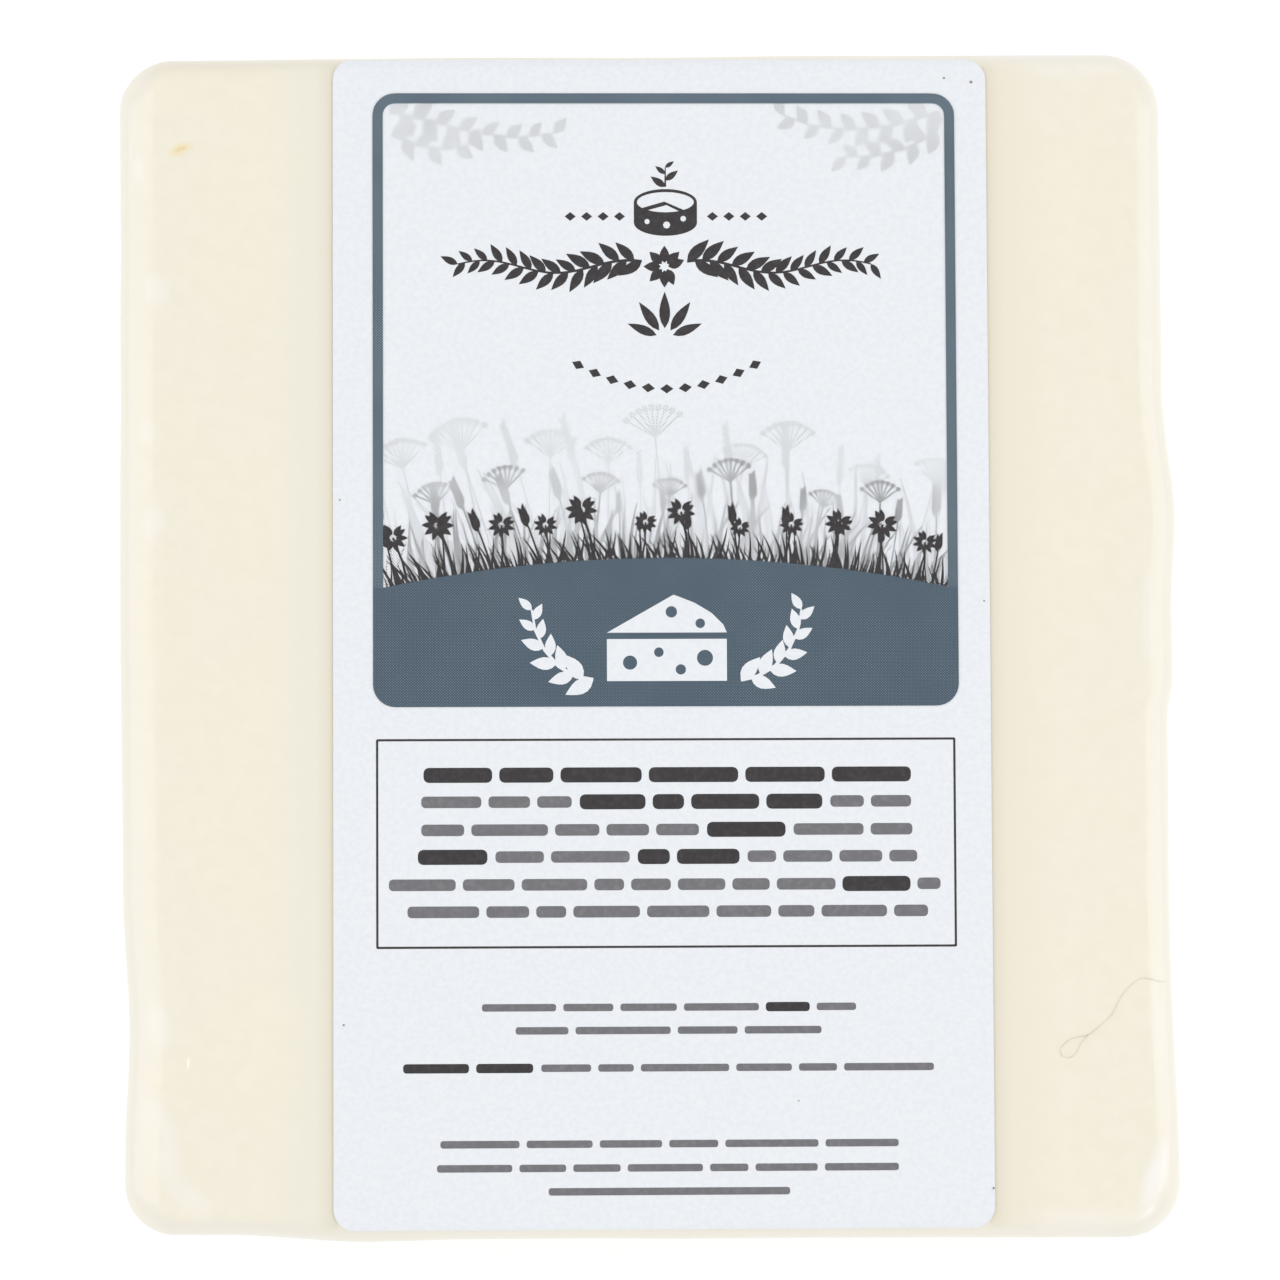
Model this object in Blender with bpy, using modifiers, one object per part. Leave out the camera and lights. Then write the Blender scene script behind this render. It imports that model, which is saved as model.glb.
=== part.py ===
"""A block of goat's cheese, sealed skin-tight in clear film, with a paper label on its face.

The pack lies on its back, label up. X runs across the label, Y up the label and Z out of it.
The origin is under the middle of the pack, on the surface that it lies on.
"""

import math

import bmesh
import bpy

MM = 0.001

# The block of cheese in its film
PACK_WIDTH = 92.0 * MM
PACK_LENGTH = 103.4 * MM
PACK_THICKNESS = 20.0 * MM
CORNER_RADII = {
    "top_left": 4.6 * MM,
    "top_right": 5.1 * MM,
    "bottom_left": 4.4 * MM,
    "bottom_right": 5.0 * MM,
}
CORNER_STEPS = 6
RIM_RADIUS = 2.6 * MM
RIM_STEPS = 4
GRID_PITCH = 4.0 * MM

# How wide the upper rim is on each side, as a share of its height
RIM_SHARE = {"left": 1.6, "right": 1.0, "top": 0.5, "bottom": 0.7}
RIM_BLEND_END = 4.4 * MM
WALL_BULGE = 0.3 * MM
FACE_FALL = 0.35 * MM
FACE_FALL_START = 31.0 * MM
SIDE_REACH = 15.0 * MM

# How far each wall stands out past the straight block, in millimetres, along its length.
# A ramp is (start, end, height) and a bump is (middle, reach, height).
WALL_FORMS = {
    "right": {
        "stand": -1.12,
        "ramps": [(23.0, 12.5, 0.81), (-3.0, -6.5, -0.55), (-21.0, -47.0, 0.70)],
        "bumps": [(10.5, 7.0, 0.31)],
    },
    "left": {
        "stand": 0.04,
        "ramps": [(25.0, -45.0, -0.54)],
        "bumps": [(-33.0, 12.0, -0.50)],
    },
    "top": {
        "stand": 0.04,
        "ramps": [(38.0, -46.0, -0.57)],
        "bumps": [],
    },
    "bottom": {
        "stand": -0.74,
        "ramps": [(-37.0, -25.0, 0.56), (10.0, 42.0, 0.16)],
        "bumps": [(-24.0, 7.0, 0.10)],
    },
}

# The label, cut from a roll with small round corners, and stuck over both ends of the face
LABEL_WIDTH = 57.0 * MM
LABEL_LENGTH = 101.6 * MM
LABEL_CORNER = 1.6 * MM
LABEL_THICKNESS = 0.25 * MM
LABEL_CENTRE = (1.0 * MM, 0.15 * MM)
LABEL_CORNER_STEPS = 4
LABEL_GAP = 0.3 * MM
LABEL_END_PITCH = 0.35 * MM
LABEL_END_CUTS = 6

CHEESE_COLOUR = (0.88, 0.83, 0.70, 1.0)
CHEESE_ROUGHNESS = 0.25
PAPER_COLOUR = (0.85, 0.87, 0.91, 1.0)
PAPER_ROUGHNESS = 0.6
SHARP_ANGLE = math.radians(40.0)


def clear_scene():
    for thing in list(bpy.data.objects):
        bpy.data.objects.remove(thing, do_unlink=True)


def new_collection(name):
    group = bpy.data.collections.new(name)
    bpy.context.scene.collection.children.link(group)
    return group


def new_material(name, colour, roughness):
    """A plain surface in one colour."""
    material = bpy.data.materials.new(name)
    material.use_nodes = True
    surface = material.node_tree.nodes["Principled BSDF"]
    surface.inputs["Base Color"].default_value = colour
    surface.inputs["Roughness"].default_value = roughness
    surface.inputs["Metallic"].default_value = 0.0
    return material


def ramp(place, start, full):
    """Rises smoothly from 0 at start to 1 at full, which may lie on either side of it."""
    share = min(max((place - start) / (full - start), 0.0), 1.0)
    return share * share * (3.0 - 2.0 * share)


def bump(place, middle, reach):
    """A smooth hump, 1 in the middle and 0 at its reach."""
    return 1.0 - ramp(abs(place - middle), 0.0, reach)


def wall_stand(side, place):
    """How far the wall stands out at that place along it, in metres."""
    form = WALL_FORMS[side]
    place_mm = place / MM
    stand = form["stand"]
    for start, end, height in form["ramps"]:
        stand += height * ramp(place_mm, start, end)
    for middle, reach, height in form["bumps"]:
        stand += height * bump(place_mm, middle, reach)
    return stand * MM


def corner_name(x, y):
    """The corner on whose quarter of the pack a place is."""
    return ("bottom_" if y < 0 else "top_") + ("left" if x < 0 else "right")


def wall_direction(x, y):
    """The way to the nearest wall and the distance to it, seen from above."""
    radius = CORNER_RADII[corner_name(x, y)]
    past_x = abs(x) - (PACK_WIDTH / 2 - radius)
    past_y = abs(y) - (PACK_LENGTH / 2 - radius)
    if past_x > 0 and past_y > 0:
        length = math.hypot(past_x, past_y)
        out_x = math.copysign(past_x / length, x)
        out_y = math.copysign(past_y / length, y)
        return out_x, out_y, radius - length
    inset_x = PACK_WIDTH / 2 - abs(x)
    inset_y = PACK_LENGTH / 2 - abs(y)
    if inset_x < inset_y:
        return math.copysign(1.0, x), 0.0, inset_x
    return 0.0, math.copysign(1.0, y), inset_y


def rim_reach(inset, share):
    """The distance from the wall of a point of the upper rim, which is wider on some sides."""
    if inset >= RIM_BLEND_END:
        return inset
    if inset <= RIM_RADIUS:
        return inset * share
    rest = (inset - RIM_RADIUS) / (RIM_BLEND_END - RIM_RADIUS)
    return RIM_RADIUS * share + rest * (RIM_BLEND_END - RIM_RADIUS * share)


def rim_drop(inset, share):
    """How far the face has fallen where it is this near to a wall."""
    width = RIM_RADIUS * share
    if inset >= width:
        return 0.0
    lean = 1.0 - max(inset, 0.0) / width
    return RIM_RADIUS * (1.0 - math.sqrt(1.0 - lean * lean))


def face_fall(x):
    """The face sinks a little towards the long walls."""
    return FACE_FALL * ramp(abs(x), FACE_FALL_START, PACK_WIDTH / 2)


def widen_rim(x, y):
    """Moves a point of the upper half in or out, so that the rim is as wide as its side's is."""
    out_x, out_y, inset = wall_direction(x, y)
    across_share = RIM_SHARE["left" if x < 0 else "right"]
    along_share = RIM_SHARE["bottom" if y < 0 else "top"]
    share = across_share * out_x ** 2 + along_share * out_y ** 2
    shift = inset - rim_reach(inset, share)
    return x + out_x * shift, y + out_y * shift


def shape_side(place, half, side, along, height_share):
    """One coordinate of a point of the pack, taken from the straight wall to the real one."""
    outward = wall_stand(side, along) + WALL_BULGE * math.sin(math.pi * height_share)
    near_wall = ramp(half - abs(place), SIDE_REACH, 0.0)
    return math.copysign(abs(place) + outward * near_wall, place)


def cut_rows(mesh, axis, places):
    """Cuts the mesh by a plane square to the axis at each of the places."""
    normal = (1.0, 0.0, 0.0) if axis == 0 else (0.0, 1.0, 0.0)
    for place in places:
        point = tuple(place * part for part in normal)
        parts = mesh.verts[:] + mesh.edges[:] + mesh.faces[:]
        bmesh.ops.bisect_plane(mesh, geom=parts, plane_co=point, plane_no=normal)


def grid_places(half, margin):
    """Rows at the grid's pitch, with the middle of a face on the origin."""
    count = math.floor((half - margin) / GRID_PITCH + 0.5)
    steps = [(row + 0.5) * GRID_PITCH for row in range(count)]
    return [-step for step in steps] + steps


def round_upright_edges(mesh):
    for name, radius in CORNER_RADII.items():
        uprights = []
        for edge in mesh.edges:
            low, high = edge.verts
            is_upright = abs(low.co.z - high.co.z) > PACK_THICKNESS / 2
            if is_upright and corner_name(low.co.x, low.co.y) == name:
                uprights.append(edge)
        bmesh.ops.bevel(
            mesh, geom=uprights, offset=radius, segments=CORNER_STEPS,
            affect="EDGES", profile=0.5, clamp_overlap=True)


def round_rims(mesh):
    rims = []
    for edge in mesh.edges:
        low, high = edge.verts
        if abs(low.co.z - high.co.z) < RIM_RADIUS:
            rims.append(edge)
    bmesh.ops.bevel(
        mesh, geom=rims, offset=RIM_RADIUS, segments=RIM_STEPS,
        affect="EDGES", profile=0.5, clamp_overlap=True)


def build_pack(group):
    """The cheese and its film as one solid: rounded, uneven at the sides, flat underneath."""
    half_width = PACK_WIDTH / 2
    half_length = PACK_LENGTH / 2
    mesh = bmesh.new()
    bmesh.ops.create_cube(mesh, size=1.0)
    bmesh.ops.scale(mesh, vec=(PACK_WIDTH, PACK_LENGTH, PACK_THICKNESS), verts=mesh.verts[:])
    bmesh.ops.translate(mesh, vec=(0.0, 0.0, PACK_THICKNESS / 2), verts=mesh.verts[:])
    round_upright_edges(mesh)
    round_rims(mesh)
    cut_rows(mesh, 0, grid_places(half_width, RIM_RADIUS))
    cut_rows(mesh, 1, grid_places(half_length, RIM_RADIUS))
    for vert in mesh.verts:
        x, y, z = vert.co
        height_share = z / PACK_THICKNESS
        if height_share > 0.5:
            x, y = widen_rim(x, y)
        vert.co.x = shape_side(x, half_width, "left" if x < 0 else "right", y, height_share)
        vert.co.y = shape_side(y, half_length, "bottom" if y < 0 else "top", x, height_share)
        vert.co.z = z - face_fall(x) * ramp(height_share, 0.5, 1.0)
    bmesh.ops.triangulate(mesh, faces=mesh.faces[:])
    surface = new_material("cheese_in_film", CHEESE_COLOUR, CHEESE_ROUGHNESS)
    pack = finish_mesh(mesh, "cheese_pack", group, surface)
    pack.data.shade_smooth()
    pack.data.set_sharp_from_angle(angle=SHARP_ANGLE)


def label_height(x, y):
    """The height of the label's underside: just clear of the face and of its end rims."""
    side = "top" if y > 0 else "bottom"
    inset = PACK_LENGTH / 2 + wall_stand(side, x) - abs(y)
    return PACK_THICKNESS - face_fall(x) - rim_drop(inset, RIM_SHARE[side]) + LABEL_GAP


def build_label(group):
    """The paper label: a rounded sheet that follows the face and dips over its two ends."""
    half_length = LABEL_LENGTH / 2
    mesh = bmesh.new()
    bmesh.ops.create_grid(mesh, x_segments=1, y_segments=1, size=0.5)
    bmesh.ops.scale(mesh, vec=(LABEL_WIDTH, LABEL_LENGTH, 1.0), verts=mesh.verts[:])
    bmesh.ops.bevel(
        mesh, geom=mesh.verts[:], offset=LABEL_CORNER, segments=LABEL_CORNER_STEPS,
        affect="VERTICES", profile=0.5)
    end_rows = [half_length - row * LABEL_END_PITCH for row in range(1, LABEL_END_CUTS + 1)]
    cut_rows(mesh, 0, grid_places(LABEL_WIDTH / 2, LABEL_CORNER))
    cut_rows(mesh, 1, [-row for row in end_rows] + end_rows)
    bmesh.ops.translate(mesh, vec=(*LABEL_CENTRE, 0.0), verts=mesh.verts[:])
    for vert in mesh.verts:
        vert.co.z = label_height(vert.co.x, vert.co.y)
    paper = new_material("label_paper", PAPER_COLOUR, PAPER_ROUGHNESS)
    label = finish_mesh(mesh, "label", group, paper)
    thickness = label.modifiers.new("paper_thickness", "SOLIDIFY")
    thickness.thickness = LABEL_THICKNESS
    thickness.offset = 1.0


def finish_mesh(mesh, name, group, material):
    data = bpy.data.meshes.new(name)
    mesh.to_mesh(data)
    mesh.free()
    piece = bpy.data.objects.new(name, data)
    group.objects.link(piece)
    piece.data.materials.append(material)
    return piece


clear_scene()
goat_cheese = new_collection("goat_cheese")
build_pack(goat_cheese)
build_label(goat_cheese)
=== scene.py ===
"""Goat's cheese sealed skin-tight in clear film, with a printed paper label over its face.

The pack lies on its back on a pale floor, label up, and the camera looks down on it.
"""

import math

import bmesh
import bpy
import numpy as np
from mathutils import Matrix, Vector, noise
from mathutils.bvhtree import BVHTree


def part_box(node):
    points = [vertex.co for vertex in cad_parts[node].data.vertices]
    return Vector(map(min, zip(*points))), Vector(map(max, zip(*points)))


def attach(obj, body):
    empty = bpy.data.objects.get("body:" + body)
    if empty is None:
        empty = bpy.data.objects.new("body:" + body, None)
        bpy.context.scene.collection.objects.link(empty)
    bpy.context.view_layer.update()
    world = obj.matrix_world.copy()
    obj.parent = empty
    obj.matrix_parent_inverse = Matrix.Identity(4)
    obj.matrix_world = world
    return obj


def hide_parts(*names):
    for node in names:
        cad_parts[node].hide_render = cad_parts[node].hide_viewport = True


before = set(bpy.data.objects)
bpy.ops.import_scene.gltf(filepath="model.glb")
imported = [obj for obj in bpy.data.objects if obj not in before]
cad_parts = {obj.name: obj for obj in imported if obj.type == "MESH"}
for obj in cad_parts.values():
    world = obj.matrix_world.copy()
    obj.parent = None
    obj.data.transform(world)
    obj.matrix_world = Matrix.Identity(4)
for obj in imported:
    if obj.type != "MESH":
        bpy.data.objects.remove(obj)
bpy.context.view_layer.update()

# The block of cheese
# A portion of semi-hard goat's cheese, cut by wire from a larger block. The tight film has
# pressed its cut edges round and left its walls a little uneven. Pale cream, faintly cloudy.

MM = 0.001
PACK_WIDTH = 92.0 * MM
PACK_LENGTH = 103.4 * MM
PACK_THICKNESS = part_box("cheese_pack")[1].z
FACE_LIFT = 0.15 * MM
BACK_LIFT = 0.11 * MM
RIM_RADIUS = 2.6 * MM
RIM_SHARE = {"left": 1.6, "right": 1.0, "top": 0.5, "bottom": 0.7}
RIM_BLEND_END = 4.4 * MM
WALL_BULGE = 0.3 * MM
FACE_FALL = 0.35 * MM
FACE_FALL_START = 31.0 * MM
SIDE_REACH = 15.0 * MM
CORNER_RADII = {(-1, 1): 4.6 * MM, (1, 1): 5.1 * MM, (-1, -1): 4.4 * MM, (1, -1): 5.0 * MM}

# How far each wall stands out, in millimetres, with its ramps as (start, end, height) and its
# bumps as (middle, reach, height), both along the wall
WALL_FORMS = {
    "right": (-1.12, [(23.0, 12.5, 0.81), (-3.0, -6.5, -0.55), (-21.0, -47.0, 0.70)],
              [(10.5, 7.0, 0.31)]),
    "left": (0.04, [(25.0, -45.0, -0.54)], [(-33.0, 12.0, -0.50)]),
    "top": (0.04, [(38.0, -46.0, -0.57)], []),
    "bottom": (-0.74, [(-37.0, -25.0, 0.56), (10.0, 42.0, 0.16)], [(-24.0, 7.0, 0.10)])}

BLOCK_COLUMNS = 132
BLOCK_ROWS = 146
BLOCK_LAYERS = 28
EDGE_CROWDING = 0.6

# Where the label lies, which the relief keeps flat
LABEL_WIDTH = 57.0 * MM
LABEL_LENGTH = 101.6 * MM
LABEL_CENTRE = Vector((1.0 * MM, 0.15 * MM, 0.0))

# Chance relief: the size and the height of its forms
SWELLS = (24.0 * MM, 0.16 * MM)
DIMPLES = (9.0 * MM, 0.05 * MM)

CREAM = (242, 236, 218)
CLOUD = (241, 236, 219)
WARM_CREAM = (245, 237, 217)
# Painted shade: the walls below the face are coloured greyer than the face
WALL_PAINTED_SHADE = (231, 226, 210)
# Painted shade: the rounded rim, where it tilts away from the face, is coloured greyer
RIM_PAINTED_SHADE = (238, 233, 220)
# Painted sheen: a whitish colour that stands for the film's reflections
PAINTED_SHEEN = (248, 244, 237)
FLECK_YELLOW = (242, 224, 176)
FLECK_CORE = (233, 208, 154)
# A darker cream, for the fine mottle and for the painted shade at the top rim and beside the label
MOTTLE_AND_SHADE = (230, 223, 203)
UNDER_EDGE_WARM = (240, 221, 194)
# Painted shade on the cheese beside the label's long sides
NEAR_LABEL_SHADE = (236, 232, 218)
NEAR_LABEL_SHADE_RIGHT = (238, 230, 212)
# Painted highlight: a pale streak that stands for the glint of a small film crease
GLINT_STREAK_WHITE = (250, 246, 226)
CHEESE_GAIN = 0.955
CHEESE_ROUGHNESS = 0.5

# Cloudy masks: (size in millimetres, detail, from, to, share)
CLOUDS = (13, 1.0, 0.36, 0.74, 0.55)
WARM_CLOUDS = (17, 1.0, 0.45, 0.75)
FINE_CLOUDS = (1.4, 4.0, 0.3, 0.7, 0.18)
PAINTED_SHEEN_CLOUDS = (3.5, 1.0, 0.15, 0.5)
HAIRLINE_CLOUDS = (13, 1.0, 0.4, 0.65, 0.6)
FLECK_CLOUDS = (0.9, 2.0, 0.25, 0.5)
# The fine grain: (size in millimetres, detail, strength, depth in millimetres)
CHEESE_GRAIN = (0.6, 3.0, 0.15, 0.05)

# Where the masks below start and where they are full, in millimetres, and their shares
FREE_OF_CLOUDS = (-42, -22)
RIM_SHADE_TILT = (0.998, 0.82, 0.75)
# Painted shade: the face darkens towards its top rim, more on the left than on the right
TOP_RIM_SHADE = (48.8, 51.0)
TOP_RIM_SHADE_SHARES = {"right": 0.1, "left": 0.5}
WALL_SHADE_FADE = (-1.0, -6.0)
LEFT_SIDE = (15, -15)
BESIDE_EDGE = (-0.6, -0.2)
BESIDE_END = (0.3, -0.8)
NEAR_LABEL_SHADE_REACH = (6.5, 0.8, 0.85)
LABEL_SHADE_STRIP = (1.7, 0.0, 0.85)
EDGE_HAIRLINE = (0.35, 0.1)

# Painted sheen: whitish patches in the cheese's colour where the film mirrors the soft boxes at its
# rims
# and corners: (x, y, half width, half length) in millimetres, a turn in degrees and how white it is
PAINTED_SHEEN_SPOTS = [
    (43.4, -46.6, 1.35, 4.4, -17, 1.0), (43.9, -33.0, 1.0, 7.5, 1, 0.3),
    (43.3, 2.0, 0.7, 7.0, 0, 0.4), (-42.9, 30.8, 1.5, 2.1, 10, 0.5),
    (-43.6, 18.6, 1.1, 1.6, 0, 0.4), (-43.0, 10.5, 1.4, 2.3, -8, 0.5),
    (-42.6, -33.0, 1.5, 3.0, 12, 0.45), (-42.4, -42.8, 2.1, 5.4, 15, 0.5),
    (-39.9, -47.9, 1.7, 3.4, 50, 0.4), (-44.4, 41.5, 0.8, 1.6, 0, 0.4),
    (36.0, -50.2, 11.0, 1.6, 0, 0.35), (36.0, 50.7, 11.0, 1.8, 0, 0.5)]
PAINTED_SHEEN_SOFT = 0.25

# The yellow fleck and a painted highlight streak: (x, y, half width, half length) and a turn in
# degrees
FLECK_HALO = (-40.75, 43.1, 1.5, 0.75, 18)
FLECK_LINE = (-40.75, 43.1, 0.8, 0.22, 18)
FLECK_SOFT = 0.1
GLINT_STREAK = (-40.0, -36.2, 0.16, 0.75, 0)
GLINT_STREAK_SOFT = 0.3


def srgb(red, green, blue, gain=1.0):
    """A colour as seen on a screen, from 0 to 255, as the linear values that Blender takes."""
    shares = [value / 255 for value in (red, green, blue)]
    linear = [s / 12.92 if s < 0.04045 else ((s + 0.055) / 1.055) ** 2.4 for s in shares]
    return tuple(min(value * gain, 1.0) for value in linear) + (1.0,)


def ramp(place, start, full):
    """Rises smoothly from 0 at start to 1 at full, for one number or an array of them."""
    share = np.clip((place - start) / (full - start), 0.0, 1.0)
    return share * share * (3.0 - 2.0 * share)


def set_sockets(tree, node, sockets):
    """Feeds a node's sockets from the outputs of others, or sets their values."""
    for key, value in dict(sockets).items():
        if isinstance(value, bpy.types.NodeSocket):
            tree.links.new(value, node.inputs[key])
        else:
            node.inputs[key].default_value = value


def new_node(tree, kind, sockets=(), **settings):
    """Adds a node. Each socket is (its name or number, a value or the output that feeds it)."""
    node = tree.nodes.new(kind)
    for name, value in settings.items():
        setattr(node, name, value)
    set_sockets(tree, node, sockets)
    return node


def output_of(tree, kind, sockets=(), output=0, **settings):
    """Adds a node and gives one of its outputs."""
    return new_node(tree, kind, sockets, **settings).outputs[output]


def calc(tree, operation, *values, clamp=False):
    sockets = list(enumerate(values))
    return output_of(tree, "ShaderNodeMath", sockets, operation=operation, use_clamp=clamp)


def times(tree, *values):
    return calc(tree, "MULTIPLY", *values)


def vector_calc(tree, operation, *sockets, output="Vector"):
    return output_of(tree, "ShaderNodeVectorMath", sockets, output, operation=operation)


def axes_of(tree, vector):
    """The three parts of a vector, by the names X, Y and Z."""
    return new_node(tree, "ShaderNodeSeparateXYZ", [("Vector", vector)]).outputs


def new_rule(name, **inputs):
    """A geometry node tree with named inputs, and the outputs that hand their values on."""
    tree = bpy.data.node_groups.new(name, "GeometryNodeTree")
    for way in ("INPUT", "OUTPUT"):
        tree.interface.new_socket("Geometry", in_out=way, socket_type="NodeSocketGeometry")
    for socket_name, kind in {**inputs, "Material": "Material"}.items():
        title = socket_name.replace("_", " ")
        tree.interface.new_socket(title, in_out="INPUT", socket_type="NodeSocket" + kind)
    return tree, new_node(tree, "NodeGroupInput").outputs


def finish_rule(tree, geometry, given):
    """Ends a rule: its copies are made real and take its material."""
    real = output_of(tree, "GeometryNodeRealizeInstances", [("Geometry", geometry)])
    finished = output_of(tree, "GeometryNodeSetMaterial", [
        ("Geometry", real), ("Material", given["Material"])])
    new_node(tree, "NodeGroupOutput", [("Geometry", finished)])
    return tree


def link_object(name, data):
    piece = bpy.data.objects.new(name, data)
    bpy.context.scene.collection.objects.link(piece)
    return piece


def settle(name, piece):
    """Turns an object and its modifiers into a plain mesh of its own."""
    evaluated = piece.evaluated_get(bpy.context.evaluated_depsgraph_get())
    mesh = bpy.data.meshes.new_from_object(evaluated)
    bpy.data.objects.remove(piece)
    return link_object(name, mesh)


def follow_rule(name, base, tree, values):
    """Runs a geometry node tree on the base, and returns the result as a plain mesh."""
    modifier = base.modifiers.new(tree.name, "NODES")
    modifier.node_group = tree
    for socket in tree.interface.items_tree:
        if socket.in_out == "INPUT" and socket.name in values:
            modifier[socket.identifier] = values[socket.name]
    return settle(name, base)


def finish_piece(piece, node, smooth=True):
    """A piece that stands for a solid of the frame, and rides with it."""
    if smooth:
        piece.data.shade_smooth()
    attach(piece, "root")
    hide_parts(node)


def read_points(mesh):
    flat = np.empty(len(mesh.vertices) * 3)
    mesh.vertices.foreach_get("co", flat)
    return flat.reshape(-1, 3)


def write_points(mesh, points):
    mesh.vertices.foreach_set("co", points.ravel())
    mesh.update()


def read_normals(mesh):
    flat = np.empty(len(mesh.vertices) * 3, dtype=np.float32)
    mesh.vertex_normals.foreach_get("vector", flat)
    return flat.reshape(-1, 3).astype(float)


def block_grid_rule():
    """A box of even rows, which the shaping below rounds off."""
    tree, given = new_rule("block_grid", Size="Vector", Columns="Int", Rows="Int", Layers="Int")
    box = output_of(tree, "GeometryNodeMeshCube", [
        ("Size", given["Size"]), ("Vertices X", given["Columns"]),
        ("Vertices Y", given["Rows"]), ("Vertices Z", given["Layers"])])
    return finish_rule(tree, box, given)


def wall_stand(side, place):
    """How far a wall stands out past the straight block, at places along it."""
    stand, ramps, bumps = WALL_FORMS[side]
    place_mm = place / MM
    stand = stand + 0.0 * place_mm
    for start, end, height in ramps:
        stand = stand + height * ramp(place_mm, start, end)
    for middle, reach, height in bumps:
        stand = stand + height * (1.0 - ramp(np.abs(place_mm - middle), 0.0, reach))
    return stand * MM


def crowd_to_edges(share):
    """Moves even rows, from -1 to 1, closer together towards the edges."""
    return share * (1 - EDGE_CROWDING) + EDGE_CROWDING * np.sin(share * math.pi / 2)


def corners_of_plan(x, y):
    """For each corner: its signs and radius, the places seen from its arc's middle, which of
    them lie beyond that, and how far off they are."""
    for (x_sign, y_sign), radius in CORNER_RADII.items():
        past_x = x * x_sign - (PACK_WIDTH / 2 - radius)
        past_y = y * y_sign - (PACK_LENGTH / 2 - radius)
        inside = (past_x > 0) & (past_y > 0)
        length = np.where(inside, np.hypot(past_x, past_y), 1.0)
        yield x_sign, y_sign, radius, past_x, past_y, inside, length


def round_corners(x, y):
    """Turns the square plan of each corner into an arc."""
    for x_sign, y_sign, radius, past_x, past_y, inside, length in corners_of_plan(x, y):
        reach = np.maximum(past_x, past_y)
        x = np.where(inside, x_sign * (PACK_WIDTH / 2 - radius + past_x / length * reach), x)
        y = np.where(inside, y_sign * (PACK_LENGTH / 2 - radius + past_y / length * reach), y)
    return x, y


def wall_direction(x, y):
    """The way to the nearest wall and the distance to it, seen from above."""
    inset_x = PACK_WIDTH / 2 - np.abs(x)
    inset_y = PACK_LENGTH / 2 - np.abs(y)
    nearer_x = inset_x < inset_y
    out_x = np.where(nearer_x, np.sign(x), 0.0)
    out_y = np.where(nearer_x, 0.0, np.sign(y))
    inset = np.minimum(inset_x, inset_y)
    for x_sign, y_sign, radius, past_x, past_y, inside, length in corners_of_plan(x, y):
        out_x = np.where(inside, x_sign * past_x / length, out_x)
        out_y = np.where(inside, y_sign * past_y / length, out_y)
        inset = np.where(inside, radius - length, inset)
    return out_x, out_y, inset


def round_rims(x, y, z):
    """Rounds the two rims, where the walls meet the face and the back."""
    out_x, out_y, inset = wall_direction(x, y)
    height = np.where(z > PACK_THICKNESS / 2, PACK_THICKNESS - z, z)
    past_wall = RIM_RADIUS - inset
    past_face = RIM_RADIUS - height
    inside = (past_wall > 0) & (past_face > 0)
    length = np.where(inside, np.hypot(past_wall, past_face), 1.0)
    reach = np.maximum(past_wall, past_face)
    shift = np.where(inside, past_wall * (reach / length - 1.0), 0.0)
    new_height = np.where(inside, RIM_RADIUS - past_face / length * reach, height)
    new_z = np.where(z > PACK_THICKNESS / 2, PACK_THICKNESS - new_height, new_height)
    return x + out_x * shift, y + out_y * shift, new_z


def widen_rim(x, y):
    """Moves points of the upper half in or out, so that the rim is as wide as its side's is."""
    out_x, out_y, inset = wall_direction(x, y)
    across_share = np.where(x < 0, RIM_SHARE["left"], RIM_SHARE["right"])
    along_share = np.where(y < 0, RIM_SHARE["bottom"], RIM_SHARE["top"])
    share = across_share * out_x ** 2 + along_share * out_y ** 2
    rest = (inset - RIM_RADIUS) / (RIM_BLEND_END - RIM_RADIUS)
    blended = RIM_RADIUS * share + rest * (RIM_BLEND_END - RIM_RADIUS * share)
    reach = np.where(inset <= RIM_RADIUS, inset * share, np.minimum(blended, inset))
    reach = np.where((inset > RIM_RADIUS) & (share > 1), np.maximum(blended, inset), reach)
    shift = np.where(inset < RIM_BLEND_END, inset - reach, 0.0)
    return x + out_x * shift, y + out_y * shift


def shape_side(place, half, sides, along, height_share):
    """One coordinate, taken from the straight wall to the real one."""
    outward = np.where(place < 0, wall_stand(sides[0], along), wall_stand(sides[1], along))
    outward = outward + WALL_BULGE * np.sin(math.pi * height_share)
    return place + np.sign(place) * outward * ramp(half - np.abs(place), SIDE_REACH, 0.0)


def shape_block(mesh):
    """Turns the straight grid into the block that the film has pressed round."""
    x, y, z = read_points(mesh).T
    x = crowd_to_edges(x) * PACK_WIDTH / 2
    y = crowd_to_edges(y) * PACK_LENGTH / 2
    z = (z + 1) / 2 * PACK_THICKNESS
    x, y = round_corners(x, y)
    x, y, z = round_rims(x, y, z)
    height_share = z / PACK_THICKNESS
    wide_x, wide_y = widen_rim(x, y)
    x = np.where(height_share > 0.5, wide_x, x)
    y = np.where(height_share > 0.5, wide_y, y)
    new_x = shape_side(x, PACK_WIDTH / 2, ("left", "right"), y, height_share)
    new_y = shape_side(y, PACK_LENGTH / 2, ("bottom", "top"), x, height_share)
    fall = FACE_FALL * ramp(np.abs(new_x), FACE_FALL_START, PACK_WIDTH / 2)
    new_z = z + (FACE_LIFT - fall) * ramp(height_share, 0.5, 1.0)
    new_z = new_z + BACK_LIFT * ramp(height_share, 0.5, 0.0)
    write_points(mesh, np.stack([new_x, new_y, new_z], axis=1))


def beside_label(x):
    """0 under the label and just beside it, where the face is flat, and 1 away from it."""
    return ramp(np.abs(x - LABEL_CENTRE.x), LABEL_WIDTH / 2 + 0.5 * MM, LABEL_WIDTH / 2 + 5 * MM)


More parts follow.
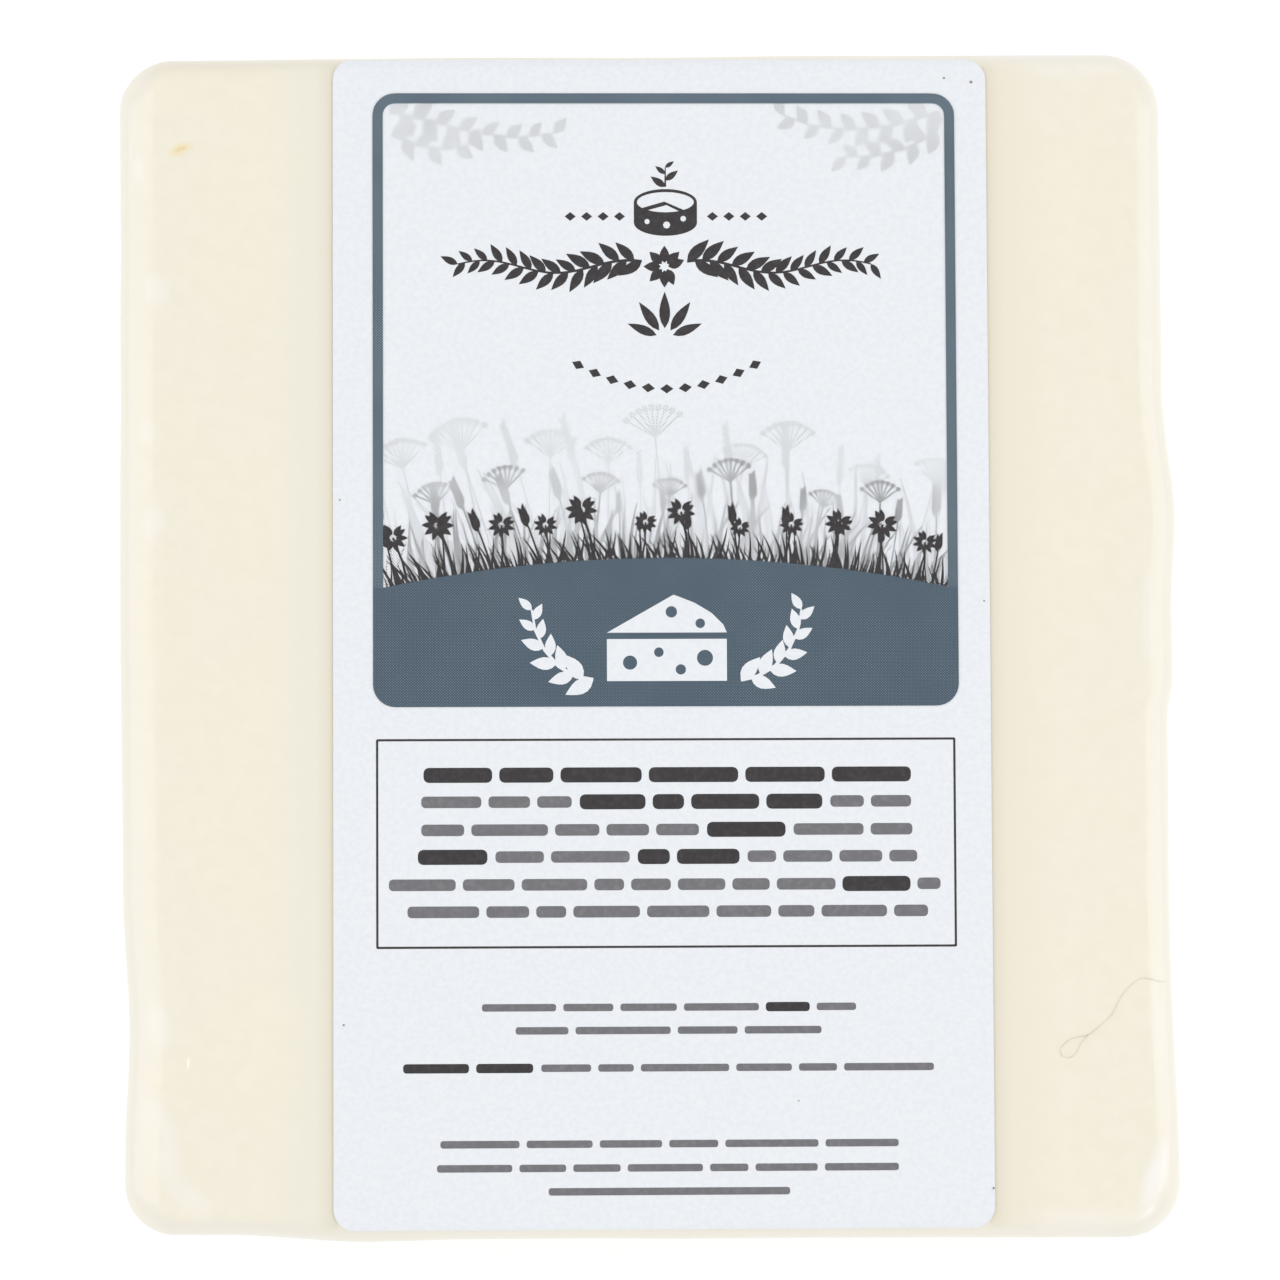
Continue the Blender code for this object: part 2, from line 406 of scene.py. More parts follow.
def chance_heights(points, size, height, seed):
    """Smooth chance heights, one for each point."""
    shift = Vector((seed * 7.3, seed * 3.1, seed * 5.7))
    return np.array([noise.noise(Vector(point) / size + shift) for point in points]) * height


def add_relief(mesh):
    """Low chance swells and dimples, which leave the back and the label's place flat."""
    points = read_points(mesh)
    normals = read_normals(mesh)
    relief = chance_heights(points, *SWELLS, 1) + chance_heights(points, *DIMPLES, 2)
    on_face = ramp(normals[:, 2], 0.5, 0.9)
    keep = 1.0 - on_face * (1.0 - beside_label(points[:, 0]))
    keep = keep * ramp(points[:, 2], 0.0, 3 * MM)
    write_points(mesh, points + normals * (relief * keep)[:, None])


def fade(tree, value, start, full, share=1.0):
    """A smooth mask: 0 at start and its share at full."""
    low, high = min(start, full), max(start, full)
    ends = (0.0, 1.0) if full > start else (1.0, 0.0)
    mask = output_of(tree, "ShaderNodeMapRange", [
        ("Value", value), ("From Min", low), ("From Max", high),
        ("To Min", ends[0]), ("To Max", ends[1])], interpolation_type="SMOOTHSTEP")
    return mask if share == 1.0 else times(tree, mask, share)


def fade_mm(tree, value, start, full, share=1.0):
    return fade(tree, value, start * MM, full * MM, share)


def new_group(name, **inputs):
    """A shader node group with named inputs: its tree, what they hand on, and the place."""
    tree = bpy.data.node_groups.new(name, "ShaderNodeTree")
    for socket_name, kind in inputs.items():
        tree.interface.new_socket(socket_name, in_out="INPUT", socket_type="NodeSocket" + kind)
    place = new_node(tree, "ShaderNodeTexCoord").outputs["Object"]
    return tree, new_node(tree, "NodeGroupInput").outputs, place


def finish_group(tree, name, kind, value):
    """Ends a group with its one output."""
    tree.interface.new_socket(name, in_out="OUTPUT", socket_type="NodeSocket" + kind)
    new_node(tree, "NodeGroupOutput", [(name, value)])
    return tree


def place_group(tree, group, **values):
    """Places a group in a material, with its own values."""
    return output_of(tree, "ShaderNodeGroup", values, node_tree=group)


def clouds_group():
    """Soft chance clouds, as a mask from 0 to its share."""
    tree, given, place = new_group("soft_clouds", Scale="Float", Detail="Float", From="Float",
                                   To="Float", Share="Float")
    clouds = output_of(tree, "ShaderNodeTexNoise", [
        ("Vector", place), ("Scale", given["Scale"]), ("Detail", given["Detail"]),
        ("Roughness", 0.55)])
    mask = output_of(tree, "ShaderNodeMapRange", [
        ("Value", clouds), ("From Min", given["From"]), ("From Max", given["To"])],
        interpolation_type="SMOOTHSTEP")
    return finish_group(tree, "Mask", "Float", times(tree, mask, given["Share"]))


def grain_group():
    """A fine chance relief."""
    tree, given, place = new_group("fine_grain", Scale="Float", Detail="Float", Strength="Float",
                                   Depth="Float")
    grain = output_of(tree, "ShaderNodeTexNoise", [
        ("Vector", place), ("Scale", given["Scale"]), ("Detail", given["Detail"])])
    normal = output_of(tree, "ShaderNodeBump", [
        ("Strength", given["Strength"]), ("Distance", given["Depth"]), ("Height", grain)], "Normal")
    return finish_group(tree, "Normal", "Vector", normal)


soft_clouds = clouds_group()
fine_grain = grain_group()


def cloud_mask(tree, size, detail, low, high, share=1.0):
    """A cloudy mask, with clouds of about the given size in millimetres."""
    return place_group(tree, soft_clouds, Scale=1.0 / (size * MM), Detail=detail, From=low,
                       To=high, Share=share)


def grain_normal(tree, size, detail, strength, depth):
    """A fine relief, with its size and its depth in millimetres."""
    return place_group(tree, fine_grain, Scale=1.0 / (size * MM), Detail=detail,
                       Strength=strength, Depth=depth * MM)


def spot_mask(tree, place, x, y, half_width, half_length, turn, soft):
    """A soft oval spot seen from above, 1 in its middle."""
    centred = output_of(tree, "ShaderNodeMapping", [
        ("Vector", place), ("Location", (x * MM, y * MM, 0.0)),
        ("Rotation", (0.0, 0.0, math.radians(turn))),
        ("Scale", (half_width * MM, half_length * MM, 1.0))], vector_type="TEXTURE")
    return fade(tree, vector_calc(tree, "LENGTH", (0, centred), output="Value"), 1.0, soft)


def mix_colours(tree, mask, below, above):
    mixer = new_node(tree, "ShaderNodeMix", [("Factor", mask), ("A", below), ("B", above)],
                     data_type="RGBA")
    return mixer.outputs["Result"]


def new_surface(name):
    """A material with its surface shader, its node tree and the place on the object."""
    material = bpy.data.materials.new(name)
    material.use_nodes = True
    tree = material.node_tree
    place = new_node(tree, "ShaderNodeTexCoord").outputs["Object"]
    return material, tree, tree.nodes["Principled BSDF"], place


def cheese_material():
    material, tree, surface, place = new_surface("goat_cheese")
    axes = axes_of(tree, place)
    cloudy = times(tree, cloud_mask(tree, *CLOUDS), fade_mm(tree, axes["Y"], *FREE_OF_CLOUDS))

    # Painted sheen: whitish patches that stand for the film's reflections at the rims and corners
    sheen = 0.0
    for *spot, share in PAINTED_SHEEN_SPOTS:
        sheen = calc(tree, "MULTIPLY_ADD", spot_mask(tree, place, *spot, PAINTED_SHEEN_SOFT), share, sheen)
    sheen = times(tree, sheen, cloud_mask(tree, *PAINTED_SHEEN_CLOUDS))
    normal = new_node(tree, "ShaderNodeNewGeometry").outputs["Normal"]
    # Painted shade: the rim turns greyer as it tilts away from the face
    rim = fade(tree, axes_of(tree, normal)["Z"], *RIM_SHADE_TILT)

    # Painted shade along the top rim, stronger on the left
    on_left = fade_mm(tree, axes["X"], *LEFT_SIDE)
    left_more = TOP_RIM_SHADE_SHARES["left"] - TOP_RIM_SHADE_SHARES["right"]
    top_share = calc(tree, "MULTIPLY_ADD", on_left, left_more, TOP_RIM_SHADE_SHARES["right"])
    top_rim_shade = times(tree, fade_mm(tree, axes["Y"], *TOP_RIM_SHADE), top_share)
    below_face = calc(tree, "SUBTRACT", axes["Z"], PACK_THICKNESS)

    from_middle = calc(tree, "SUBTRACT", axes["X"], LABEL_CENTRE.x)
    from_edge = calc(tree, "SUBTRACT", calc(tree, "ABSOLUTE", from_middle), LABEL_WIDTH / 2)
    from_end = calc(tree, "SUBTRACT", calc(tree, "ABSOLUTE", axes["Y"]), LABEL_LENGTH / 2)
    beside = times(tree, fade_mm(tree, from_edge, *BESIDE_EDGE), fade_mm(tree, from_end, *BESIDE_END))
    hairline = times(tree, fade_mm(tree, from_edge, *EDGE_HAIRLINE),
                     cloud_mask(tree, *HAIRLINE_CLOUDS))
    near_label_shade = mix_colours(tree, on_left, srgb(*NEAR_LABEL_SHADE_RIGHT, CHEESE_GAIN),
                              srgb(*NEAR_LABEL_SHADE, CHEESE_GAIN))
    fleck_clouds = cloud_mask(tree, *FLECK_CLOUDS)
    fleck = [times(tree, spot_mask(tree, place, *spot, FLECK_SOFT), fleck_clouds)
             for spot in (FLECK_HALO, FLECK_LINE)]

    colour = srgb(*CREAM, CHEESE_GAIN)
    for mask, above in [
            (cloud_mask(tree, *WARM_CLOUDS), WARM_CREAM), (cloudy, CLOUD),
            (cloud_mask(tree, *FINE_CLOUDS), MOTTLE_AND_SHADE), (rim, RIM_PAINTED_SHADE), (sheen, PAINTED_SHEEN),
            # Painted shade on the walls below the face, which are coloured greyer
            (top_rim_shade, MOTTLE_AND_SHADE), (fade_mm(tree, below_face, *WALL_SHADE_FADE), WALL_PAINTED_SHADE),
            # Painted shade beside the label's long sides: a broad faint zone and a narrow darker
            # strip
            (times(tree, fade_mm(tree, from_edge, *NEAR_LABEL_SHADE_REACH), beside), near_label_shade),
            (times(tree, fade_mm(tree, from_edge, *LABEL_SHADE_STRIP), beside), MOTTLE_AND_SHADE),
            (times(tree, hairline, beside), UNDER_EDGE_WARM),
            (fleck[0], FLECK_YELLOW), (fleck[1], FLECK_CORE)]:
        if isinstance(above, tuple):
            above = srgb(*above, CHEESE_GAIN)
        colour = mix_colours(tree, mask, colour, above)
    # Painted highlight: a pale streak for the glint of a small film crease
    glint_streak = spot_mask(tree, place, *GLINT_STREAK, GLINT_STREAK_SOFT)
    set_sockets(tree, surface, {
        "Base Color": mix_colours(tree, glint_streak, colour, srgb(*GLINT_STREAK_WHITE)),
        "Normal": grain_normal(tree, *CHEESE_GRAIN),
        "Roughness": CHEESE_ROUGHNESS})
    return material


block_start = link_object("block_start", bpy.data.meshes.new("block_start"))
block = follow_rule("cheese_block", block_start, block_grid_rule(), {
    "Size": (2.0, 2.0, 2.0), "Columns": BLOCK_COLUMNS, "Rows": BLOCK_ROWS,
    "Layers": BLOCK_LAYERS, "Material": cheese_material()})
shape_block(block.data)
add_relief(block.data)
finish_piece(block, "cheese_pack")


# The clear film
# A thin shrink film, drawn onto the block all round. It is glossy, and ripples a little where it
# goes over the rims, with a crease that runs down the right side and round the lower corner.

FILM_GAP = 0.08 * MM
RIPPLE_HEIGHT = 0.03 * MM
RIPPLE_SIZE = 5.0 * MM
RIPPLE_DRAWN_DOWN = (1.0, 1.0, 0.3)
RIPPLE_ON_WALLS = 4.0
FILM_TIGHT_REACH = 6 * MM
FILM_ROUGHNESS = 0.11
RUBBED_CLOUDS = (7, 2.0, 0.35, 0.65, 0.13)
FILM_GRAIN = (1.8, 2.0, 0.25, 0.05)
FILM_IOR = 1.46
FILM_MOST_MIRROR = 0.32
RIGHT_CREASE = [(44.2, -4.0), (44.3, -18.0), (44.6, -32.0), (44.9, -42.0), (44.0, -47.0),
                (41.6, -49.9), (37.0, -50.6)]
LEFT_CURL = [(-45.6, -18.6), (-44.8, -18.9), (-44.6, -19.7), (-45.0, -20.3), (-45.6, -20.6)]
# The height and the width of each
RIGHT_CREASE_SIZE = (0.11 * MM, 0.9 * MM)
LEFT_CURL_SIZE = (0.055 * MM, 0.225 * MM)


def film_rule():
    """Lifts a copy of the surface clear of it, and ripples it where it isn't flat."""
    tree, given = new_rule("drawn_film", Gap="Float", Ripple_Height="Float", Ripple_Size="Float",
                           Flat_Half_Width="Float", Flat_Middle="Float", Seed="Float")
    normal = output_of(tree, "GeometryNodeInputNormal", output="Normal")
    place = output_of(tree, "GeometryNodeInputPosition")
    drawn_down = vector_calc(tree, "MULTIPLY", (0, place), (1, RIPPLE_DRAWN_DOWN))
    scale = calc(tree, "DIVIDE", 1.0, given["Ripple Size"])
    ripples = output_of(tree, "ShaderNodeTexNoise", [
        ("Vector", drawn_down), ("W", given["Seed"]), ("Scale", scale), ("Detail", 1.0)],
        noise_dimensions="4D")
    across = calc(tree, "SUBTRACT", axes_of(tree, place)["X"], given["Flat Middle"])
    past_flat = calc(tree, "SUBTRACT", calc(tree, "ABSOLUTE", across), given["Flat Half Width"])
    loose = calc(tree, "DIVIDE", past_flat, FILM_TIGHT_REACH, clamp=True)
    upward = calc(tree, "ABSOLUTE", axes_of(tree, normal)["Z"])
    on_wall = calc(tree, "SUBTRACT", 1.0, upward, clamp=True)
    loose = calc(tree, "MULTIPLY_ADD", on_wall, RIPPLE_ON_WALLS, loose)
    height = times(tree, calc(tree, "SUBTRACT", ripples, 0.5), given["Ripple Height"])
    height = calc(tree, "ADD", times(tree, height, loose), given["Gap"])
    offset = vector_calc(tree, "SCALE", (0, normal), ("Scale", height))
    moved_out = output_of(tree, "GeometryNodeSetPosition", [
        ("Geometry", given["Geometry"]), ("Offset", offset)])
    return finish_rule(tree, moved_out, given)


def distance_to_path(points, path):
    """The distance of each point from a path of straight runs, seen from above."""
    nearest = np.full(len(points), np.inf)
    for start, end in zip(path, path[1:]):
        start, end = np.array(start) * MM, np.array(end) * MM
        run = end - start
        share = np.clip(((points - start) @ run) / (run @ run), 0.0, 1.0)
        gap = points - (start + share[:, None] * run)
        nearest = np.minimum(nearest, np.hypot(gap[:, 0], gap[:, 1]))
    return nearest


def add_crease(mesh, path, height, width):
    """Raises a soft crease along a path over the upper side."""
    points = read_points(mesh)
    normals = read_normals(mesh)
    fall = ramp(distance_to_path(points[:, :2], path), width, 0.0)
    upper = ramp(points[:, 2], PACK_THICKNESS / 2, PACK_THICKNESS * 0.8)
    write_points(mesh, points + normals * (fall * upper * height)[:, None])


def film_material():
    """Clear film: it mirrors what meets it at a low angle, and lets the rest through."""
    material, tree, surface, _ = new_surface("clear_film")
    fresnel = output_of(tree, "ShaderNodeFresnel", [("IOR", FILM_IOR)])
    inside = new_node(tree, "ShaderNodeNewGeometry").outputs["Backfacing"]
    outside = calc(tree, "SUBTRACT", 1.0, inside)
    rubbed = cloud_mask(tree, *RUBBED_CLOUDS)
    set_sockets(tree, surface, {
        "Alpha": times(tree, calc(tree, "MINIMUM", fresnel, FILM_MOST_MIRROR), outside),
        "Roughness": calc(tree, "ADD", rubbed, FILM_ROUGHNESS),
        "Normal": grain_normal(tree, *FILM_GRAIN),
        "Base Color": (1.0, 1.0, 1.0, 1.0), "Metallic": 1.0})
    return material


film_start = link_object("film_start", block.data.copy())
film = follow_rule("clear_film", film_start, film_rule(), {
    "Gap": FILM_GAP, "Ripple Height": RIPPLE_HEIGHT, "Ripple Size": RIPPLE_SIZE,
    "Flat Half Width": LABEL_WIDTH / 2 + 1 * MM, "Flat Middle": LABEL_CENTRE.x, "Seed": 3.0,
    "Material": film_material()})
add_crease(film.data, RIGHT_CREASE, *RIGHT_CREASE_SIZE)
add_crease(film.data, LEFT_CURL, *LEFT_CURL_SIZE)
film.visible_shadow = False
finish_piece(film, "cheese_pack")


# The paper label
# White satin paper with small round corners, cut by a die and stuck to the film by its whole
# back. It is as long as the face, so its two ends dip over the rims.

LABEL_CORNER = 1.8 * MM
LABEL_SHARP_ANGLE = 40
PAPER_THICKNESS = 0.09 * MM
LABEL_LIFT = 0.015 * MM
PAPER_STEPS = 8
PAPER_COLUMNS = 30
PAPER_ROWS = 30
# Rows close together over each rim: from and to, inwards from the end, and how many
PAPER_END_ROWS = (2.4 * MM, 0.2 * MM, 12)
PAPER_MIDDLE_INSET = 3 * MM
PAPER_WHITE = (240, 243, 247)
PAPER_SHADE = (231, 234, 239)
PAPER_GAIN = 0.93
PAPER_MOTTLE = (0.45, 3.0, 0.35, 0.65, 0.5)
PAPER_GRAIN = (0.25, 3.0, 0.12, 0.02)
PAPER_ROUGHNESS = 0.55
PRINT_SHINE = 0.3


def shape_mesh(mesh_data, shape):
    """Runs a function on mesh data by way of bmesh."""
    mesh = bmesh.new()
    mesh.from_mesh(mesh_data)
    shape(mesh)
    mesh.to_mesh(mesh_data)
    mesh.free()


def build_piece(name, shape):
    """A new piece, made by a function that fills an empty mesh."""
    piece = link_object(name, bpy.data.meshes.new(name))
    shape_mesh(piece.data, shape)
    return piece


def rounded_outline(left, right, bottom, top, radius, steps=PAPER_STEPS):
    """The points of a rectangle with round corners, turning left from the lower right."""
    corners = [(right - radius, bottom + radius, -90), (right - radius, top - radius, 0),
               (left + radius, top - radius, 90), (left + radius, bottom + radius, 180)]
    outline = []
    for x, y, start in corners:
        for step in range(steps + 1):
            angle = math.radians(start + 90 * step / steps)
            outline.append((x + radius * math.cos(angle), y + radius * math.sin(angle)))
    return outline


film_surface = BVHTree.FromPolygons([tuple(point) for point in read_points(film.data)],
                                    [tuple(face.vertices) for face in film.data.polygons])


def film_height(x, y):
    """The film's height at a place on the face."""
    hit = film_surface.ray_cast(Vector((x, y, 2 * PACK_THICKNESS)), Vector((0.0, 0.0, -1.0)))
    return hit[0].z


def all_parts(mesh):
    return mesh.verts[:] + mesh.edges[:] + mesh.faces[:]


def cut_rows(mesh, direction, places):
    for place in places:
        bmesh.ops.bisect_plane(mesh, geom=all_parts(mesh), plane_no=direction,
                               plane_co=tuple(place * part for part in direction))


def lay_sheet(mesh):
    """The sheet of paper, laid down on the film."""
    half_width, half_length = LABEL_WIDTH / 2, LABEL_LENGTH / 2
    outline = rounded_outline(-half_width, half_width, -half_length, half_length, LABEL_CORNER)
    mesh.faces.new([mesh.verts.new((x, y, 0.0)) for x, y in outline])
    cut_rows(mesh, (1.0, 0.0, 0.0), np.linspace(-half_width, half_width, PAPER_COLUMNS)[1:-1])
    first, last, count = PAPER_END_ROWS
    ends = np.linspace(half_length - first, half_length - last, count)
    straight = half_length - PAPER_MIDDLE_INSET
    middle = np.linspace(-straight, straight, PAPER_ROWS)
    cut_rows(mesh, (0.0, 1.0, 0.0), [*-ends, *middle, *ends])
    for vert in mesh.verts:
        vert.co += LABEL_CENTRE
        vert.co.z = film_height(vert.co.x, vert.co.y) + LABEL_LIFT


def paper_material():
    material, tree, surface, _ = new_surface("label_paper")
    set_sockets(tree, surface, {
        "Base Color": mix_colours(tree, cloud_mask(tree, *PAPER_MOTTLE),
                                  srgb(*PAPER_WHITE, PAPER_GAIN), srgb(*PAPER_SHADE, PAPER_GAIN)),
        "Normal": grain_normal(tree, *PAPER_GRAIN),
        "Roughness": PAPER_ROUGHNESS, "Specular IOR Level": PRINT_SHINE})
    return material


paper = paper_material()
sheet = build_piece("label_sheet", lay_sheet)
thickness = sheet.modifiers.new("paper_thickness", "SOLIDIFY")
thickness.thickness = PAPER_THICKNESS
thickness.offset = 1.0
label = settle("label_paper", sheet)
label.data.materials.append(paper)
label.data.shade_smooth()
label.data.set_sharp_from_angle(angle=math.radians(LABEL_SHARP_ANGLE))
finish_piece(label, "label", smooth=False)


# The slate frame and band
# Printed in a fine screen of dots: a round-cornered frame, whose lower part is a solid band with
# a gently arched top. Every print is a film of ink less than a hundredth of a millimetre thick.

INK_DEPTH = 0.008 * MM
INK_LIFT = 0.003 * MM
LAYER_STEP = 0.016 * MM
MOST_LIFT = 0.006 * MM
WELD_DISTANCE = 0.001 * MM
BAND_LAYER = 3
LABEL_TOP = film_height(LABEL_CENTRE.x, 0.0) + LABEL_LIFT + PAPER_THICKNESS
FRAME_LEFT, FRAME_RIGHT, FRAME_BOTTOM, FRAME_TOP = -25.04, 25.73, -5.75, 47.81
FRAME_LINE = 0.88
INSIDE_LEFT, INSIDE_RIGHT = FRAME_LEFT + FRAME_LINE, FRAME_RIGHT - FRAME_LINE
FRAME_CORNER = 1.95
BAND_SIDE = 4.6
BAND_CROWN = 7.15
ARCH_POINTS = 60
SCREEN_PITCH = 25.4 / 150 * MM
SCREEN_SOFT = 0.12
SCREEN_ROUGHNESS = 0.5
UNEVEN_CLOUDS = (6, 2.0, 0.3, 0.7)
SLATE = (70, 88, 102)
SLATE_LIGHT = (150, 165, 176)
SLATE_GAIN = 0.93


def flat_shape(name, *loops):
    """A film of ink in the middle of the world, filled between its loops, in millimetres."""
    curve = bpy.data.curves.new(name, "CURVE")
    curve.dimensions = "2D"
    curve.fill_mode = "BOTH"
    curve.extrude = INK_DEPTH / 2
    for loop in loops:
        spline = curve.splines.new("POLY")
        spline.points.add(len(loop) - 1)
        for point, (x, y) in zip(spline.points, loop):
            point.co = (x * MM, y * MM, 0.0, 1.0)
        spline.use_cyclic_u = True
    piece = settle(name, link_object(name + "_curve", curve))

    def weld(mesh):
        bmesh.ops.remove_doubles(mesh, verts=mesh.verts[:], dist=WELD_DISTANCE)
        bmesh.ops.recalc_face_normals(mesh, faces=mesh.faces[:])
    shape_mesh(piece.data, weld)
    return piece


def shift_piece(piece, x=0.0, y=0.0, z=0.0):
    """Shifts a piece within its mesh, and gives it back."""
    write_points(piece.data, read_points(piece.data) + np.array([x, y, z]))
    return piece


def join_pieces(name, pieces):
    """Makes one mesh of several, whose places are in their meshes."""
    def take_all(mesh):
        for piece in pieces:
            mesh.from_mesh(piece.data)
            bpy.data.objects.remove(piece)
    return build_piece(name, take_all)


def finish_print(piece, material, layer=0):
    """Lays a print from the middle of the world on its layer of the label, in its ink."""
    lift = LABEL_TOP + INK_LIFT + INK_DEPTH / 2 + layer * LAYER_STEP
    shift_piece(piece, *LABEL_CENTRE.xy, lift)
    piece.data.materials.clear()
    piece.data.materials.append(material)
    finish_piece(piece, "label", smooth=False)


def screen_group():
    """Printer's dots, in rows at 45 degrees: ink over paper, as dense as the cover says."""
    tree, given, place = new_group("printing_screen", Paper="Color", Ink="Color", Cover="Float",
                                   Pitch="Float")
    turned = output_of(tree, "ShaderNodeVectorRotate", [("Vector", place), ("Angle", math.pi / 4)],
                       rotation_type="Z_AXIS")
    turns = calc(tree, "DIVIDE", 2 * math.pi, given["Pitch"])
    axes = axes_of(tree, vector_calc(tree, "SCALE", (0, turned), ("Scale", turns)))
    waves = calc(tree, "ADD", calc(tree, "COSINE", axes["X"]), calc(tree, "COSINE", axes["Y"]))
    height = calc(tree, "MULTIPLY_ADD", waves, 0.25, 0.5)
    edge = calc(tree, "SUBTRACT", 1.0, given["Cover"])
    dots = output_of(tree, "ShaderNodeMapRange", [
        ("Value", height), ("From Min", calc(tree, "SUBTRACT", edge, SCREEN_SOFT)),
        ("From Max", calc(tree, "ADD", edge, SCREEN_SOFT))], interpolation_type="SMOOTHSTEP")
    colour = mix_colours(tree, dots, given["Paper"], given["Ink"])
    return finish_group(tree, "Color", "Color", colour)


printing_screen = screen_group()


def screened_ink(name, paper_colour, ink_colour, gain, cover, swing):
    """Ink in a screen of dots over paper, a little denser in some places than in others."""
    material, tree, surface, _ = new_surface(name)
    uneven = cloud_mask(tree, *UNEVEN_CLOUDS)
    dots = place_group(
        tree, printing_screen, Paper=srgb(*paper_colour, gain), Ink=srgb(*ink_colour, gain),
        Cover=calc(tree, "MULTIPLY_ADD", uneven, swing, cover - swing / 2), Pitch=SCREEN_PITCH)
    set_sockets(tree, surface, {
        "Base Color": dots, "Roughness": SCREEN_ROUGHNESS, "Specular IOR Level": PRINT_SHINE})
    return material


def arch_height(x):
    """The height of the band's arched top edge, in millimetres on the label."""
    share = (x - (FRAME_LEFT + FRAME_RIGHT) / 2) / ((INSIDE_RIGHT - INSIDE_LEFT) / 2)
    return BAND_CROWN - (BAND_CROWN - BAND_SIDE) * share * share


def band_outline():
    """The loop round the band, with the arch as its upper edge inside the frame."""
    outline = rounded_outline(FRAME_LEFT, FRAME_RIGHT, FRAME_BOTTOM, FRAME_TOP, FRAME_CORNER)
    count = PAPER_STEPS + 1
    arch = [(x, arch_height(x)) for x in np.linspace(INSIDE_RIGHT, INSIDE_LEFT, ARCH_POINTS)]
    return [*outline[3 * count:], *outline[:count], (FRAME_RIGHT, BAND_SIDE), *arch,
            (FRAME_LEFT, BAND_SIDE)]


def frame_outline():
    """The loop round the frame's upper part, which stands on the band's two ends."""
    count = PAPER_STEPS + 1
    outer = rounded_outline(FRAME_LEFT, FRAME_RIGHT, FRAME_BOTTOM, FRAME_TOP, FRAME_CORNER)
    inner = rounded_outline(INSIDE_LEFT, INSIDE_RIGHT, FRAME_BOTTOM, FRAME_TOP - FRAME_LINE,
                            FRAME_CORNER - FRAME_LINE)
    return [(FRAME_RIGHT, BAND_SIDE), *outer[count:3 * count], (FRAME_LEFT, BAND_SIDE),
            (INSIDE_LEFT, BAND_SIDE), *inner[count:3 * count][::-1], (INSIDE_RIGHT, BAND_SIDE)]


band_ink = screened_ink("band_print", SLATE_LIGHT, SLATE, SLATE_GAIN, cover=0.86, swing=0.06)
frame_ink = screened_ink("frame_print", SLATE_LIGHT, SLATE, SLATE_GAIN, cover=0.70, swing=0.08)
finish_print(flat_shape("label_band", band_outline()), band_ink, BAND_LAYER)
finish_print(flat_shape("label_frame", frame_outline()), frame_ink, BAND_LAYER)


# The white ornament on the band
# A wedge of cheese between two leafy sprigs, in simple shapes that are left white in the slate.
# The leaves follow their stems by a rule that all the printed plants use.

WEDGE_SIDE = [(-5.2, -4.0), (5.2, -4.0), (5.2, -0.35), (-5.2, -0.35)]
WEDGE_TOP = [(-5.2, 0.2), (5.2, 0.2), (4.9, 0.9), (3.9, 1.9), (2.4, 2.8), (0.6, 3.5)]
SIDE_HOLES = [(-3.2, -2.4, 0.62), (-0.7, -1.5, 0.42), (1.2, -3.0, 0.45), (3.3, -2.0, 0.7)]
TOP_HOLES = [(0.4, 2.0, 0.5), (2.9, 1.0, 0.42)]
ORNAMENT_MIDDLE = (0.4, 0.45)
SPRIG_STEM = [(6.4, -3.9), (7.9, -3.6), (9.4, -2.7), (10.6, -1.3), (11.4, 0.4), (11.7, 2.2)]
SPRIG_LEAVES = 11
SPRIG_LEAF = (2.6, 1.25)
SPRIG_SEED = 60


def leaf(length, width, steps=6):
    """The outline of a pointed leaf, from the middle of the world along X."""
    shares = [step / steps for step in range(steps + 1)]
    upper = [(length * s, width / 2 * math.sin(math.pi * s ** 0.8)) for s in shares]
    return upper + [(x, -y) for x, y in upper[-2:0:-1]]


def circle(x, y, radius, steps=16):
    angles = [2 * math.pi * step / steps for step in range(steps)]
    return [(x + radius * math.cos(a), y + radius * math.sin(a)) for a in angles]


def stroke(path, start_width, end_width):
    """The outline of a stroke of the pen along a path, in millimetres."""
    points = np.array(path, dtype=float)
    along = np.gradient(points, axis=0)
    along /= np.linalg.norm(along, axis=1)[:, None]
    aside = np.stack([-along[:, 1], along[:, 0]], axis=1)
    aside *= np.linspace(start_width, end_width, len(points))[:, None] / 2
    return [*map(tuple, points + aside), *map(tuple, (points - aside)[::-1])]


def mirrored(path):
    return [(-x, y) for x, y in path]


def moved(path, shift):
    return [(x + shift[0], y + shift[1]) for x, y in path]


def chance(tree, low, high, seed):
    sockets = [(2, low), (3, high), ("Seed", seed)]
    return output_of(tree, "FunctionNodeRandomValue", sockets, 1, data_type="FLOAT")


def combined(tree, **parts):
    return output_of(tree, "ShaderNodeCombineXYZ", list(parts.items()))


